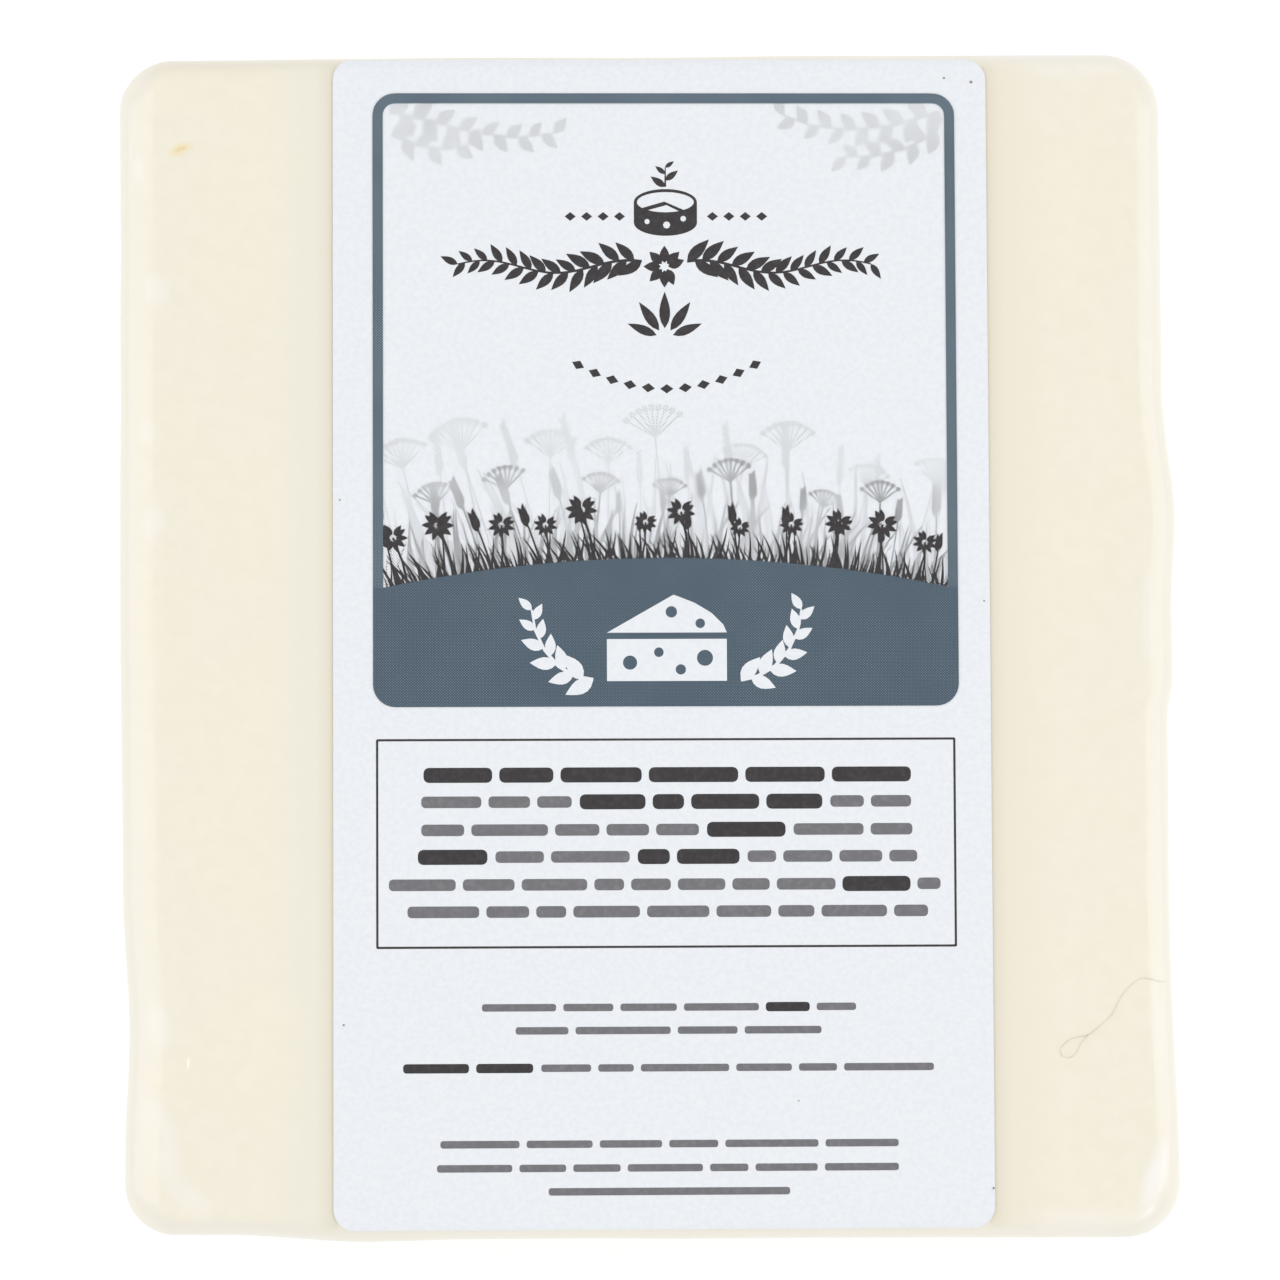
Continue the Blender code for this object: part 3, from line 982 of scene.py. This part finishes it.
def motif_rule():
    """Sets copies of a motif along a path, each leaning from the path's own direction.

    Each is lifted by a chance hair's breadth, so that no two that overlap share a plane.
    """
    tree, given = new_rule(
        "motifs_along_path", Motif="Object", Count="Int", Size="Float", End_Size="Float",
        Size_Chance="Float", Lean="Float", Lean_Chance="Float", Both_Sides="Float",
        Most_Lift="Float", Seed="Int")
    curve = output_of(tree, "GeometryNodeMeshToCurve", [("Mesh", given["Geometry"])])
    points = output_of(tree, "GeometryNodeResampleCurve", [
        ("Curve", curve), ("Count", given["Count"])], mode="COUNT")
    tangent = axes_of(tree, output_of(tree, "GeometryNodeInputTangent"))
    heading = calc(tree, "ARCTAN2", tangent["Y"], tangent["X"])
    odd = calc(tree, "MODULO", output_of(tree, "GeometryNodeInputIndex"), 2.0)
    side = calc(tree, "MULTIPLY_ADD", times(tree, odd, given["Both Sides"]), -2.0, 1.0)
    lean = calc(tree, "MULTIPLY_ADD", chance(tree, -1.0, 1.0, given["Seed"]),
                given["Lean Chance"], given["Lean"])
    turn = combined(tree, Z=calc(tree, "MULTIPLY_ADD", lean, side, heading))
    size_chance = chance(tree, -1.0, 1.0, calc(tree, "ADD", given["Seed"], 50.0))
    swing = calc(tree, "MULTIPLY_ADD", size_chance, given["Size Chance"], 1.0)
    share = new_node(tree, "GeometryNodeSplineParameter").outputs["Factor"]
    growth = calc(tree, "SUBTRACT", given["End Size"], given["Size"])
    size = times(tree, calc(tree, "MULTIPLY_ADD", share, growth, given["Size"]), swing)
    motif = new_node(tree, "GeometryNodeObjectInfo", [("Object", given["Motif"])])
    copies = output_of(tree, "GeometryNodeInstanceOnPoints", [
        ("Points", points), ("Instance", motif.outputs["Geometry"]),
        ("Rotation", turn), ("Scale", combined(tree, X=size, Y=size, Z=1.0))])
    lift = chance(tree, 0.1, 1.0, calc(tree, "ADD", given["Seed"], 100.0))
    lifted = output_of(tree, "GeometryNodeTranslateInstances", [
        ("Instances", copies), ("Local Space", False),
        ("Translation", combined(tree, Z=times(tree, lift, given["Most Lift"])))])
    return finish_rule(tree, lifted, given)


motifs_along_path = motif_rule()


def path_piece(name, points):
    """An open path of straight runs between points in metres."""
    mesh = bpy.data.meshes.new(name)
    mesh.from_pydata(points, [(i, i + 1) for i in range(len(points) - 1)], [])
    return link_object(name, mesh)


def motifs_on(path, motif, material, count, seed, size=1.0, end_size=None, size_chance=0.0,
              lean=0.0, lean_chance=0.0, both_sides=False):
    """Sets copies of a motif along a path of points in millimetres. Angles are in degrees."""
    base = path_piece("path", [(x * MM, y * MM, 0.0) for x, y in path])
    return follow_rule("motifs", base, motifs_along_path, {
        "Motif": motif, "Count": count, "Size": size,
        "End Size": size if end_size is None else end_size, "Size Chance": size_chance,
        "Lean": math.radians(lean), "Lean Chance": math.radians(lean_chance),
        "Both Sides": 1.0 if both_sides else 0.0, "Most Lift": MOST_LIFT, "Seed": seed,
        "Material": material})


def sprig(stem, leaf_size, leaves, material, seed, stem_width=0.3, end_size=0.6, lean=38.0):
    """A stem with leaves on both sides."""
    leaf_piece = flat_shape("leaf", leaf(*leaf_size))
    pieces = [flat_shape("stem", stroke(stem, stem_width, stem_width * 0.5))]
    pieces.append(motifs_on(stem, leaf_piece, material, leaves, seed, end_size=end_size,
                            size_chance=0.08, lean=lean, lean_chance=5.0, both_sides=True))
    bpy.data.objects.remove(leaf_piece)
    return pieces


def band_ornament():
    """The white wedge with its holes, and a sprig on each side of it."""
    pieces = []
    for outline, holes in ((WEDGE_SIDE, SIDE_HOLES), (WEDGE_TOP, TOP_HOLES)):
        loops = [outline, *[circle(*hole) for hole in holes]]
        pieces.append(flat_shape("wedge", *[moved(loop, ORNAMENT_MIDDLE) for loop in loops]))
    for number, path in enumerate((SPRIG_STEM, mirrored(SPRIG_STEM))):
        pieces += sprig(moved(path, ORNAMENT_MIDDLE), SPRIG_LEAF, SPRIG_LEAVES, paper,
                        SPRIG_SEED + number, stem_width=0.36)
    return join_pieces("band_ornament", pieces)


finish_print(band_ornament(), paper, BAND_LAYER + 1)


# The ruled box
# A thin rule in solid black ink, printed as a box across the middle of the label. It has the
# ink's own depth, like the other prints, and lies on the bare paper.

BOX = (-24.80, 25.39, -26.63, -8.52)
RULE = 0.19
INK_BLACK = (56, 53, 55)
THIN_CLOUDS = (0.5, 3.0, 0.4, 0.8, 0.6)
THIN_INK = 22
SOLID_ROUGHNESS = 0.45


def solid_ink(name, colour):
    """Solid ink, a little thinner in places."""
    material, tree, surface, _ = new_surface(name)
    lighter = [value + THIN_INK for value in colour]
    set_sockets(tree, surface, {
        "Base Color": mix_colours(tree, cloud_mask(tree, *THIN_CLOUDS),
                                  srgb(*colour, SLATE_GAIN), srgb(*lighter, SLATE_GAIN)),
        "Roughness": SOLID_ROUGHNESS, "Specular IOR Level": PRINT_SHINE})
    return material


black_ink = solid_ink("black_print", INK_BLACK)
box_outline = rounded_outline(*BOX, RULE / 2, 1)
box_inside = [place + inward for place, inward in zip(BOX, (RULE, -RULE, RULE, -RULE))]
finish_print(flat_shape("ruled_box", box_outline, rounded_outline(*box_inside, RULE / 4, 1)),
             black_ink)


# The rows of bars
# Rows of plain round-ended bars, printed in solid ink within the box and below it. A run's bars
# have chance lengths and fill its width, and the heavy runs are printed darker.

# Each run is (left, right, middle height, bars, bar height), in millimetres on the label
HEAVY_RUNS = [
    (-20.7, 21.5, -11.67, 6, 1.3), (-7.2, 13.8, -14.00, 4, 1.3), (3.8, 10.6, -16.42, 1, 1.3),
    (-21.2, -15.2, -18.75, 1, 1.3), (-2.2, 6.6, -18.75, 2, 1.3), (15.5, 21.4, -21.15, 1, 1.3),
    (8.8, 12.6, -31.74, 1, 0.8), (-22.5, -11.3, -36.95, 2, 0.8)]
LIGHT_RUNS = [
    (-20.9, -7.9, -14.00, 3, 1.0), (14.5, 21.5, -14.00, 2, 1.0), (-20.9, 3.1, -16.42, 5, 1.0),
    (11.3, 21.6, -16.42, 2, 1.0), (-14.5, -2.9, -18.75, 2, 1.0), (7.3, 22.0, -18.75, 4, 1.0),
    (-23.7, 14.9, -21.15, 8, 1.0), (22.0, 24.0, -21.15, 1, 1.0), (-22.1, 22.9, -23.49, 9, 1.0),
    (-15.7, 8.2, -31.74, 4, 0.64), (13.2, 16.6, -31.74, 1, 0.64), (-12.8, 13.6, -33.73, 4, 0.64),
    (-10.6, 23.3, -36.95, 6, 0.64), (-19.3, 20.2, -43.48, 6, 0.64), (-19.6, 20.2, -45.54, 7, 0.64),
    (-10.0, 10.8, -47.56, 1, 0.64)]
BAR_GAP = 0.62
BAR_ROUNDING = 0.7
INK_GREY = (117, 116, 120)
HEAVY_SEED = 11
LIGHT_SEED = 31


def bar_run_rule():
    """Spreads round-ended bars of chance lengths over a run, with a gap between each two.

    The base is one bar as long as it is high. Each copy is drawn out from its middle, so that
    its ends stay round.
    """
    tree, given = new_rule("run_of_bars", Bars="Int", Run_Width="Float", Bar_Height="Float",
                           Gap="Float", Middle="Vector", Seed="Int")

    def store(geometry, name, value):
        return output_of(tree, "GeometryNodeStoreNamedAttribute", [
            ("Geometry", geometry), ("Name", name), ("Value", value)],
            data_type="FLOAT", domain="POINT")

    def stored(name):
        node = new_node(tree, "GeometryNodeInputNamedAttribute", [("Name", name)],
                        data_type="FLOAT")
        return node.outputs["Attribute"]

    points = output_of(tree, "GeometryNodePoints", [("Count", given["Bars"])])
    points = store(points, "weight", chance(tree, 0.5, 1.5, given["Seed"]))
    running = new_node(tree, "GeometryNodeAccumulateField", [(0, stored("weight"))],
                       data_type="FLOAT").outputs
    gaps = times(tree, given["Gap"], calc(tree, "SUBTRACT", given["Bars"], 1.0))
    unit = calc(tree, "DIVIDE", calc(tree, "SUBTRACT", given["Run Width"], gaps), running["Total"])
    length = times(tree, stored("weight"), unit)
    gaps_before = times(tree, output_of(tree, "GeometryNodeInputIndex"), given["Gap"])
    left = calc(tree, "ADD", times(tree, running["Trailing"], unit), gaps_before)
    middle = calc(tree, "ADD", left, times(tree, length, 0.5))
    middle = calc(tree, "SUBTRACT", middle, times(tree, given["Run Width"], 0.5))
    spot = vector_calc(tree, "ADD", (0, combined(tree, X=middle)), (1, given["Middle"]))
    stretch = times(tree, calc(tree, "SUBTRACT", length, given["Bar Height"]), 0.5)
    placed = output_of(tree, "GeometryNodeSetPosition", [
        ("Geometry", store(points, "stretch", stretch)), ("Position", spot)])
    across = axes_of(tree, output_of(tree, "GeometryNodeInputPosition"))["X"]
    marked = store(given["Geometry"], "side", calc(tree, "SIGN", across))
    copies = output_of(tree, "GeometryNodeInstanceOnPoints", [
        ("Points", placed), ("Instance", marked)])
    real = output_of(tree, "GeometryNodeRealizeInstances", [("Geometry", copies)])
    drawn = output_of(tree, "GeometryNodeSetPosition", [
        ("Geometry", real),
        ("Offset", combined(tree, X=times(tree, stored("side"), stored("stretch"))))])
    return finish_rule(tree, drawn, given)


run_of_bars = bar_run_rule()
grey_ink = solid_ink("light_print", INK_GREY)


def print_runs(name, runs, material, first_seed):
    """One piece for all the runs that share an ink."""
    pieces = []
    for number, (left, right, height, bars, bar_height) in enumerate(runs):
        half = bar_height / 2
        bar = flat_shape("bar", rounded_outline(-half, half, -half, half, half * BAR_ROUNDING, 3))
        pieces.append(follow_rule("run", bar, run_of_bars, {
            "Bars": bars, "Run Width": (right - left) * MM, "Bar Height": bar_height * MM,
            "Gap": BAR_GAP * MM, "Middle": ((left + right) / 2 * MM, height * MM, 0.0),
            "Seed": first_seed + number, "Material": material}))
    finish_print(join_pieces(name, pieces), material)


print_runs("heavy_bars", HEAVY_RUNS, black_ink, HEAVY_SEED)
print_runs("light_bars", LIGHT_RUNS, grey_ink, LIGHT_SEED)


# The emblem and the garland
# Plain ornaments in solid ink, on the white inside the frame: a small wheel of cheese with a
# sprig, a leafy garland with a blossom in its middle, a fan of leaves and an arc of lozenges.

EMBLEM_MIDDLE = (0.45, 37.9)
WHEEL_HALF_WIDTH, WHEEL_HALF_DEPTH = 2.75, 1.15
WHEEL_TOP, WHEEL_LOW = 0.35, -1.45
WHEEL_LINE = 0.26
WHEEL_HOLES = [(-1.6, -1.35, 0.24), (0.1, -1.65, 0.32), (1.55, -1.1, 0.26)]
CREST_HEIGHTS = (1.7, 2.3, 2.9, 3.4)
CREST_LEAF = (1.5, 0.6)
# The two rows of lozenges beside the wheel: where they start, how low and how long they are
ROW_STARTS = (-8.3, 4.1)
ROW_FALL, ROW_LENGTH = 0.9, 4.3
ROW_LOZENGE = (1.2, 0.95)
GARLAND_MIDDLE = (0.35, 32.6)
GARLAND_START = 0.11
GARLAND_REACH = 18.0
GARLAND_WAVE = 0.55
GARLAND_LEAF = (2.5, 0.95)
GARLAND_LEAVES = 26
BLOSSOM_PETAL = (1.5, 0.85)
BLOSSOM_HOLLOW = 0.22
FAN_MIDDLE = (0.35, 26.3)
FAN_LEAF = (3.2, 0.95)
FAN_HOLLOW = 0.9
# The leaning and the size of the fan's leaves beside the middle one
FAN_SIDES = [(55.0, 0.95), (125.0, 0.95), (22.0, 0.85), (158.0, 0.85)]
ARC_LEFT, ARC_RIGHT, ARC_LOW, ARC_HIGH = -7.2, 8.2, 21.9, 24.0
ARC_LOZENGE = (1.15, 0.8)


def arc_points(height, half_width, half_depth, start, end, steps=20):
    """Points on an oval, from one angle to another in degrees."""
    angles = np.radians(np.linspace(start, end, steps))
    return [(half_width * math.cos(a), height + half_depth * math.sin(a)) for a in angles]


def wheel_loops():
    """A round cheese seen from a little above, with its wedge cut, in a fine line."""
    oval = (WHEEL_HALF_WIDTH, WHEEL_HALF_DEPTH)
    inner = [half - WHEEL_LINE for half in oval]
    outline = arc_points(WHEEL_TOP, *oval, 0, 180) + arc_points(WHEEL_LOW, *oval, 180, 360)
    upper = arc_points(WHEEL_TOP, *inner, -50, 215) + [(-0.1, WHEEL_TOP + 0.05)]
    wedge = arc_points(WHEEL_TOP, *inner, 232, 298, 8) + [(0.1, WHEEL_TOP - 0.25)]
    holes = [circle(*hole, 8) for hole in WHEEL_HOLES]
    return [moved(loop, EMBLEM_MIDDLE) for loop in [outline, upper, wedge, *holes]]


def lozenge(length, width):
    return [(-length / 2, 0.0), (0.0, -width / 2), (length / 2, 0.0), (0.0, width / 2)]


def blossom(petal_size, petals, material, seed):
    """A round flower: petals along a small ring."""
    petal = flat_shape("petal", leaf(*petal_size))
    ring = circle(0.0, 0.0, petal_size[0] * BLOSSOM_HOLLOW, petals + 1)
    flower = motifs_on(ring, petal, material, petals + 1, seed, lean=-90.0)
    bpy.data.objects.remove(petal)
    return flower


def emblem_and_garland():
    pieces = [flat_shape("wheel", *wheel_loops())]
    x, y = EMBLEM_MIDDLE
    pieces += sprig([(x, y + height) for height in CREST_HEIGHTS], CREST_LEAF, 4, black_ink, 70,
                    stem_width=0.16, lean=55.0)
    row_lozenge = flat_shape("row_lozenge", lozenge(*ROW_LOZENGE))
    for start in ROW_STARTS:
        row = [(x + start, y - ROW_FALL), (x + start + ROW_LENGTH, y - ROW_FALL)]
        pieces.append(motifs_on(row, row_lozenge, black_ink, 4, 71, size=0.8))

    x, y = GARLAND_MIDDLE
    right = [(GARLAND_REACH * s, GARLAND_WAVE * math.sin(9 * s))
             for s in np.linspace(GARLAND_START, 1.0, 24)]
    for number, path in enumerate((right, mirrored(right))):
        pieces += sprig(moved(path, (x, y)), GARLAND_LEAF, GARLAND_LEAVES, black_ink, 80 + number,
                        stem_width=0.24, end_size=0.62, lean=42.0)
    pieces.append(shift_piece(blossom(BLOSSOM_PETAL, 7, black_ink, 82), x * MM, y * MM))

    x, y = FAN_MIDDLE
    fan_leaf = flat_shape("fan_leaf", moved(leaf(*FAN_LEAF), (FAN_HOLLOW, 0.0)))
    for seed, leaning, size in [(90, 90.0, 1.0), *[(91, *side) for side in FAN_SIDES]]:
        pieces.append(motifs_on([(x, y), (x + 0.01, y)], fan_leaf, black_ink, 1, seed,
                                size=size, lean=leaning))

    arc_lozenge = flat_shape("arc_lozenge", lozenge(*ARC_LOZENGE))
    middle, half = (ARC_LEFT + ARC_RIGHT) / 2, (ARC_RIGHT - ARC_LEFT) / 2
    arc = [(middle + half * s, ARC_LOW + (ARC_HIGH - ARC_LOW) * s * s)
           for s in np.linspace(-1, 1, 21)]
    pieces.append(motifs_on(arc, arc_lozenge, black_ink, 11, 95))
    for motif in (row_lozenge, fan_leaf, arc_lozenge):
        bpy.data.objects.remove(motif)
    return join_pieces("emblem_and_garland", pieces)


finish_print(emblem_and_garland(), black_ink)


# The meadow and the corner sprays
# Pale leafy sprays in the frame's upper corners, and a meadow of grasses and flowers that stands
# on the band: pale tall plants behind, then grey ones, and dark short ones in front.

CORNER_SPRAYS = [
    [(-23.6, 46.2), (-20.0, 45.4), (-16.5, 44.4), (-12.5, 43.9), (-9.2, 44.3)],
    [(-23.4, 44.2), (-21.0, 43.2), (-18.6, 42.9), (-16.6, 43.3)],
    [(24.4, 46.2), (20.5, 45.0), (16.5, 44.6), (13.2, 45.0), (10.8, 45.9)],
    [(24.2, 44.4), (21.6, 43.0), (18.8, 42.3), (16.2, 42.2)]]
SPRAY_LEAF = (2.3, 1.25)
SPRAY_SEED = 100
GRAIN_LEAF = (0.95, 0.34, 4)
DAISY_PETAL = (0.95, 0.42)
BLADE_TIP = 0.12
# The widths of the plants' strokes at their feet and at their tips
UMBEL_STALK = (0.22, 0.14)
UMBEL_RAY = (0.12, 0.10)
STRAW = (0.18, 0.10)
DAISY_STALK = (0.2, 0.16)
UMBEL_FALL = 0.35
UMBEL_HALF_WIDTH = 0.9
FEET_SUNK = 0.3
BAND_EDGE_POINTS = 40
MEADOW_LEFT, MEADOW_RIGHT = INSIDE_LEFT + 0.4, INSIDE_RIGHT - 0.4

pale_ink = screened_ink("pale_print", PAPER_WHITE, INK_BLACK, PAPER_GAIN, cover=0.20, swing=0.10)
mid_ink = screened_ink("mid_print", PAPER_WHITE, INK_BLACK, PAPER_GAIN, cover=0.45, swing=0.20)
spray_ink = screened_ink("spray_print", PAPER_WHITE, INK_BLACK, PAPER_GAIN, cover=0.27, swing=0.12)


def corner_sprays():
    """Sprigs with about one leaf for each millimetre."""
    pieces = []
    for number, stem in enumerate(CORNER_SPRAYS):
        leaves = 1 + int(math.dist(stem[0], stem[-1]))
        pieces += sprig(stem, SPRAY_LEAF, leaves, spray_ink, SPRAY_SEED + number,
                        end_size=0.7, lean=46.0)
    return join_pieces("corner_sprays", pieces)


def blade(name, length, width, bend):
    """A blade of grass, from the middle of the world along X."""
    path = [(length * s, bend * s * s) for s in np.linspace(0, 1, 7)]
    return flat_shape(name, stroke(path, width, width * BLADE_TIP))


def umbel(height, spread, rays, dot):
    """A tall flower with a flat head of dots on rays, along X."""
    stalk = [(0, 0), (height / 2, 0.12), (height, 0)]
    pieces = [flat_shape("stalk", stroke(stalk, *UMBEL_STALK))]
    for ray in range(rays):
        share = ray / (rays - 1) * 2 - 1
        end = (height + spread * (1.0 - UMBEL_FALL * share * share),
               spread * UMBEL_HALF_WIDTH * share)
        pieces.append(flat_shape("ray", stroke([(height, 0), end], *UMBEL_RAY)))
        pieces.append(flat_shape("dot", circle(*end, dot, 8)))
    for number, piece in enumerate(pieces):
        shift_piece(piece, z=number / len(pieces) * MOST_LIFT)
    return join_pieces("umbel", pieces)


def grass_ear(height, seeds, material, seed):
    """A tall grass with small seeds up both sides of its top, along X."""
    path = [(height * s, 0.05 * height * s * s) for s in np.linspace(0, 1, 8)]
    pieces = [flat_shape("straw", stroke(path, *STRAW))]
    grain = flat_shape("grain", leaf(*GRAIN_LEAF))
    pieces.append(motifs_on(path[-3:], grain, material, seeds, seed, end_size=0.7, lean=24.0,
                            both_sides=True))
    bpy.data.objects.remove(grain)
    return join_pieces("grass_ear", pieces)


def daisy(height, petals, material, seed):
    """A small flower on a stalk, along X."""
    path = [(0, 0), (height / 2, -0.15), (height, 0)]
    stalk = flat_shape("stalk", stroke(path, *DAISY_STALK))
    head = shift_piece(blossom(DAISY_PETAL, petals, material, seed), height * MM)
    return join_pieces("daisy", [stalk, head])


def clip_to_frame(mesh):
    """Cuts off what would grow over the sides of the frame."""
    for side, direction in ((INSIDE_LEFT, -1.0), (INSIDE_RIGHT, 1.0)):
        cut = bmesh.ops.bisect_plane(mesh, geom=all_parts(mesh), plane_co=(side * MM, 0.0, 0.0),
                                     plane_no=(direction, 0.0, 0.0), clear_outer=True)
        rim = [part for part in cut["geom_cut"] if isinstance(part, bmesh.types.BMEdge)]
        bmesh.ops.holes_fill(mesh, edges=rim, sides=0)


def meadow_row(name, material, layer, plants):
    """One row of plants: each kind is (motif, count, left, right, size, chance, lean chance)."""
    pieces = []
    for number, (motif, count, left, right, size, size_chance, sway) in enumerate(plants):
        feet = [(x, arch_height(x) - FEET_SUNK) for x in np.linspace(left, right, BAND_EDGE_POINTS)]
        pieces.append(motifs_on(feet, motif, material, count, len(name) * 10 + number, size=size,
                                size_chance=size_chance, lean=90.0, lean_chance=sway))
        bpy.data.objects.remove(motif)
    row = join_pieces(name, pieces)
    shape_mesh(row.data, clip_to_frame)
    finish_print(row, material, layer)


meadow_row("pale_meadow", pale_ink, 0, [
    (blade("pale_blade", 9.0, 0.75, 1.2), 70, MEADOW_LEFT, MEADOW_RIGHT, 0.8, 0.35, 22.0),
    (umbel(9.2, 2.2, 9, 0.26), 9, -20.0, 21.5, 1.0, 0.2, 8.0),
    (grass_ear(12.0, 12, pale_ink, 2), 12, -22.5, 23.0, 0.95, 0.18, 9.0)])
meadow_row("grey_meadow", mid_ink, 1, [
    (blade("mid_blade", 5.6, 0.5, -0.9), 120, MEADOW_LEFT, MEADOW_RIGHT, 0.8, 0.35, 24.0),
    (umbel(6.0, 1.6, 8, 0.2), 7, -18.0, 19.0, 1.0, 0.2, 10.0),
    (grass_ear(7.6, 10, mid_ink, 4), 13, -23.0, 23.5, 0.95, 0.2, 11.0)])
meadow_row("dark_meadow", black_ink, 2, [
    (blade("dark_blade", 3.0, 0.34, 0.5), 240, MEADOW_LEFT, MEADOW_RIGHT, 0.75, 0.4, 28.0),
    (daisy(3.9, 9, black_ink, 5), 12, -22.0, 22.5, 1.0, 0.25, 12.0),
    (grass_ear(4.8, 8, black_ink, 6), 12, -23.0, 23.4, 0.95, 0.2, 12.0)])
finish_print(corner_sprays(), spray_ink)


# The hair and the specks
# A fine hair with a loop at its end lies on the film at the lower right, and a few specks of
# dust lie on the label's edges.

HAIR_PATH = [
    (44.7, -29.6), (44.1, -29.6), (43.4, -29.4), (42.4, -29.3), (41.6, -29.8), (40.9, -30.5),
    (40.4, -31.3), (39.8, -32.4), (39.1, -33.1), (38.4, -33.7), (37.6, -34.2), (36.5, -34.4),
    (35.8, -34.8), (35.3, -35.4), (35.4, -35.9), (35.9, -36.1), (36.5, -35.9), (37.1, -34.9),
    (37.7, -34.2)]
HAIR_RADIUS = 0.015 * MM
HAIR_SIDES = 6
HAIR_TURNS = 90
# Each speck's place on the label and its radius, in millimetres
SPECKS = [(25.87, 49.32, 0.10), (28.23, 48.97, 0.12), (-26.9, 12.4, 0.07), (-26.6, -33.0, 0.08),
          (29.0, 3.5, 0.07), (29.38, -47.3, 0.09), (12.6, -39.7, 0.06)]
SPECK_LUMPS = 0.35
SPECK_FLATNESS = 0.4
SPECK_LIFT = 0.3
HAIR_BROWN = (184, 166, 138)
SPECK_BROWN = (120, 104, 88)
DUST_CLOUDS = (0.8, 2.0, 0.3, 0.7)
DUST_LIGHTER = 40
DUST_ROUGHNESS = 0.6


def tube_rule():
    """A round tube along a path, closed at its ends."""
    tree, given = new_rule("tube_along_path", Radius="Float", Sides="Int", Turns="Int")
    curve = output_of(tree, "GeometryNodeMeshToCurve", [("Mesh", given["Geometry"])])
    smooth = output_of(tree, "GeometryNodeCurveSplineType", [("Curve", curve)],
                       spline_type="CATMULL_ROM")
    even = output_of(tree, "GeometryNodeResampleCurve", [
        ("Curve", smooth), ("Count", given["Turns"])], mode="COUNT")
    ring = output_of(tree, "GeometryNodeCurvePrimitiveCircle", [
        ("Resolution", given["Sides"]), ("Radius", given["Radius"])], mode="RADIUS")
    tube = output_of(tree, "GeometryNodeCurveToMesh", [
        ("Curve", even), ("Profile Curve", ring), ("Fill Caps", True)])
    return finish_rule(tree, tube, given)


def dust_material(name, colour):
    material, tree, surface, _ = new_surface(name)
    lighter = [min(value + DUST_LIGHTER, 255) for value in colour]
    set_sockets(tree, surface, {
        "Base Color": mix_colours(tree, cloud_mask(tree, *DUST_CLOUDS),
                                  srgb(*colour), srgb(*lighter)),
        "Roughness": DUST_ROUGHNESS})
    return material


def fill_specks(mesh):
    """Small flattened lumps, resting on the label."""
    for number, (x, y, size) in enumerate(SPECKS):
        made = bmesh.ops.create_icosphere(mesh, subdivisions=2, radius=size * MM)
        for vert in made["verts"]:
            lump = noise.noise(vert.co / (size * MM) + Vector((number * 9.1, 0.0, 0.0)))
            vert.co *= 1.0 + SPECK_LUMPS * lump
            vert.co.z *= SPECK_FLATNESS
            vert.co += Vector((x * MM, y * MM, LABEL_TOP + size * SPECK_LIFT * MM))


hair_base = path_piece("hair_path", [
    (x * MM, y * MM, film_height(x * MM, y * MM) + HAIR_RADIUS) for x, y in HAIR_PATH])
hair = follow_rule("stray_hair", hair_base, tube_rule(), {
    "Radius": HAIR_RADIUS, "Sides": HAIR_SIDES, "Turns": HAIR_TURNS,
    "Material": dust_material("hair_brown", HAIR_BROWN)})
finish_piece(hair, "cheese_pack")
specks = build_piece("label_specks", fill_specks)
specks.data.materials.append(dust_material("speck_brown", SPECK_BROWN))
finish_piece(specks, "label")


# The floor, the lights and the camera
# A white floor that glows a little, as on a light table, a large soft box on each side, and a
# small one towards the lower right, which the film mirrors at its rims and creases.

FLOOR_SIZE = 3.0
FLOOR_WHITE = 0.5
FLOOR_GLOW = 0.56
SKY_STRENGTH = 0.87
# Each soft box: its place, its size and its radiance
SOFT_BOXES = {
    "left_box": ((-0.62, 0.0, 0.42), (0.4, 0.73), 1.15),
    "right_box": ((0.62, 0.0, 0.42), (0.4, 0.73), 1.15),
    "key_box": ((0.45, -0.38, 0.46), (0.14, 0.14), 2.8)}
CAMERA_PLACE = Vector((-14.234, -28.570, 448.92)) * MM
CAMERA_TURN = (3.649, -1.554, -0.254)
CAMERA_LENS = 146.0
SENSOR = 36.0
CLIP_START = 0.01


def lay_floor(mesh):
    bmesh.ops.create_grid(mesh, x_segments=4, y_segments=4, size=FLOOR_SIZE / 2)


floor_white, floor_tree, floor_surface, _ = new_surface("floor_white")
set_sockets(floor_tree, floor_surface, {
    "Base Color": (FLOOR_WHITE, FLOOR_WHITE, FLOOR_WHITE, 1.0), "Roughness": 0.9,
    "Specular IOR Level": 0.0, "Emission Color": (1.0, 1.0, 1.0, 1.0),
    "Emission Strength": FLOOR_GLOW})
floor = build_piece("floor", lay_floor)
floor.data.materials.append(floor_white)

sky = bpy.data.worlds.new("studio")
sky.use_nodes = True
sky.node_tree.nodes["Background"].inputs["Color"].default_value = (1.0, 1.0, 1.0, 1.0)
sky.node_tree.nodes["Background"].inputs["Strength"].default_value = SKY_STRENGTH
bpy.context.scene.world = sky

for box_name, (place, size, radiance) in SOFT_BOXES.items():
    light = bpy.data.lights.new(box_name, "AREA")
    light.shape = "RECTANGLE"
    light.size, light.size_y = size
    light.energy = radiance * math.pi * size[0] * size[1]
    holder = link_object(box_name, light)
    holder.location = place
    aim = Vector((0.0, 0.0, PACK_THICKNESS)) - Vector(place)
    holder.rotation_euler = aim.to_track_quat("-Z", "Y").to_euler()

lens = bpy.data.cameras.new("camera")
lens.sensor_width = SENSOR
lens.lens = CAMERA_LENS
lens.clip_start = CLIP_START
camera = link_object("camera", lens)
camera.location = CAMERA_PLACE + LABEL_CENTRE + Vector((0.0, 0.0, LABEL_TOP))
camera.rotation_euler = [math.radians(angle) for angle in CAMERA_TURN]
bpy.context.scene.camera = camera
bpy.context.scene.view_settings.view_transform = "Standard"
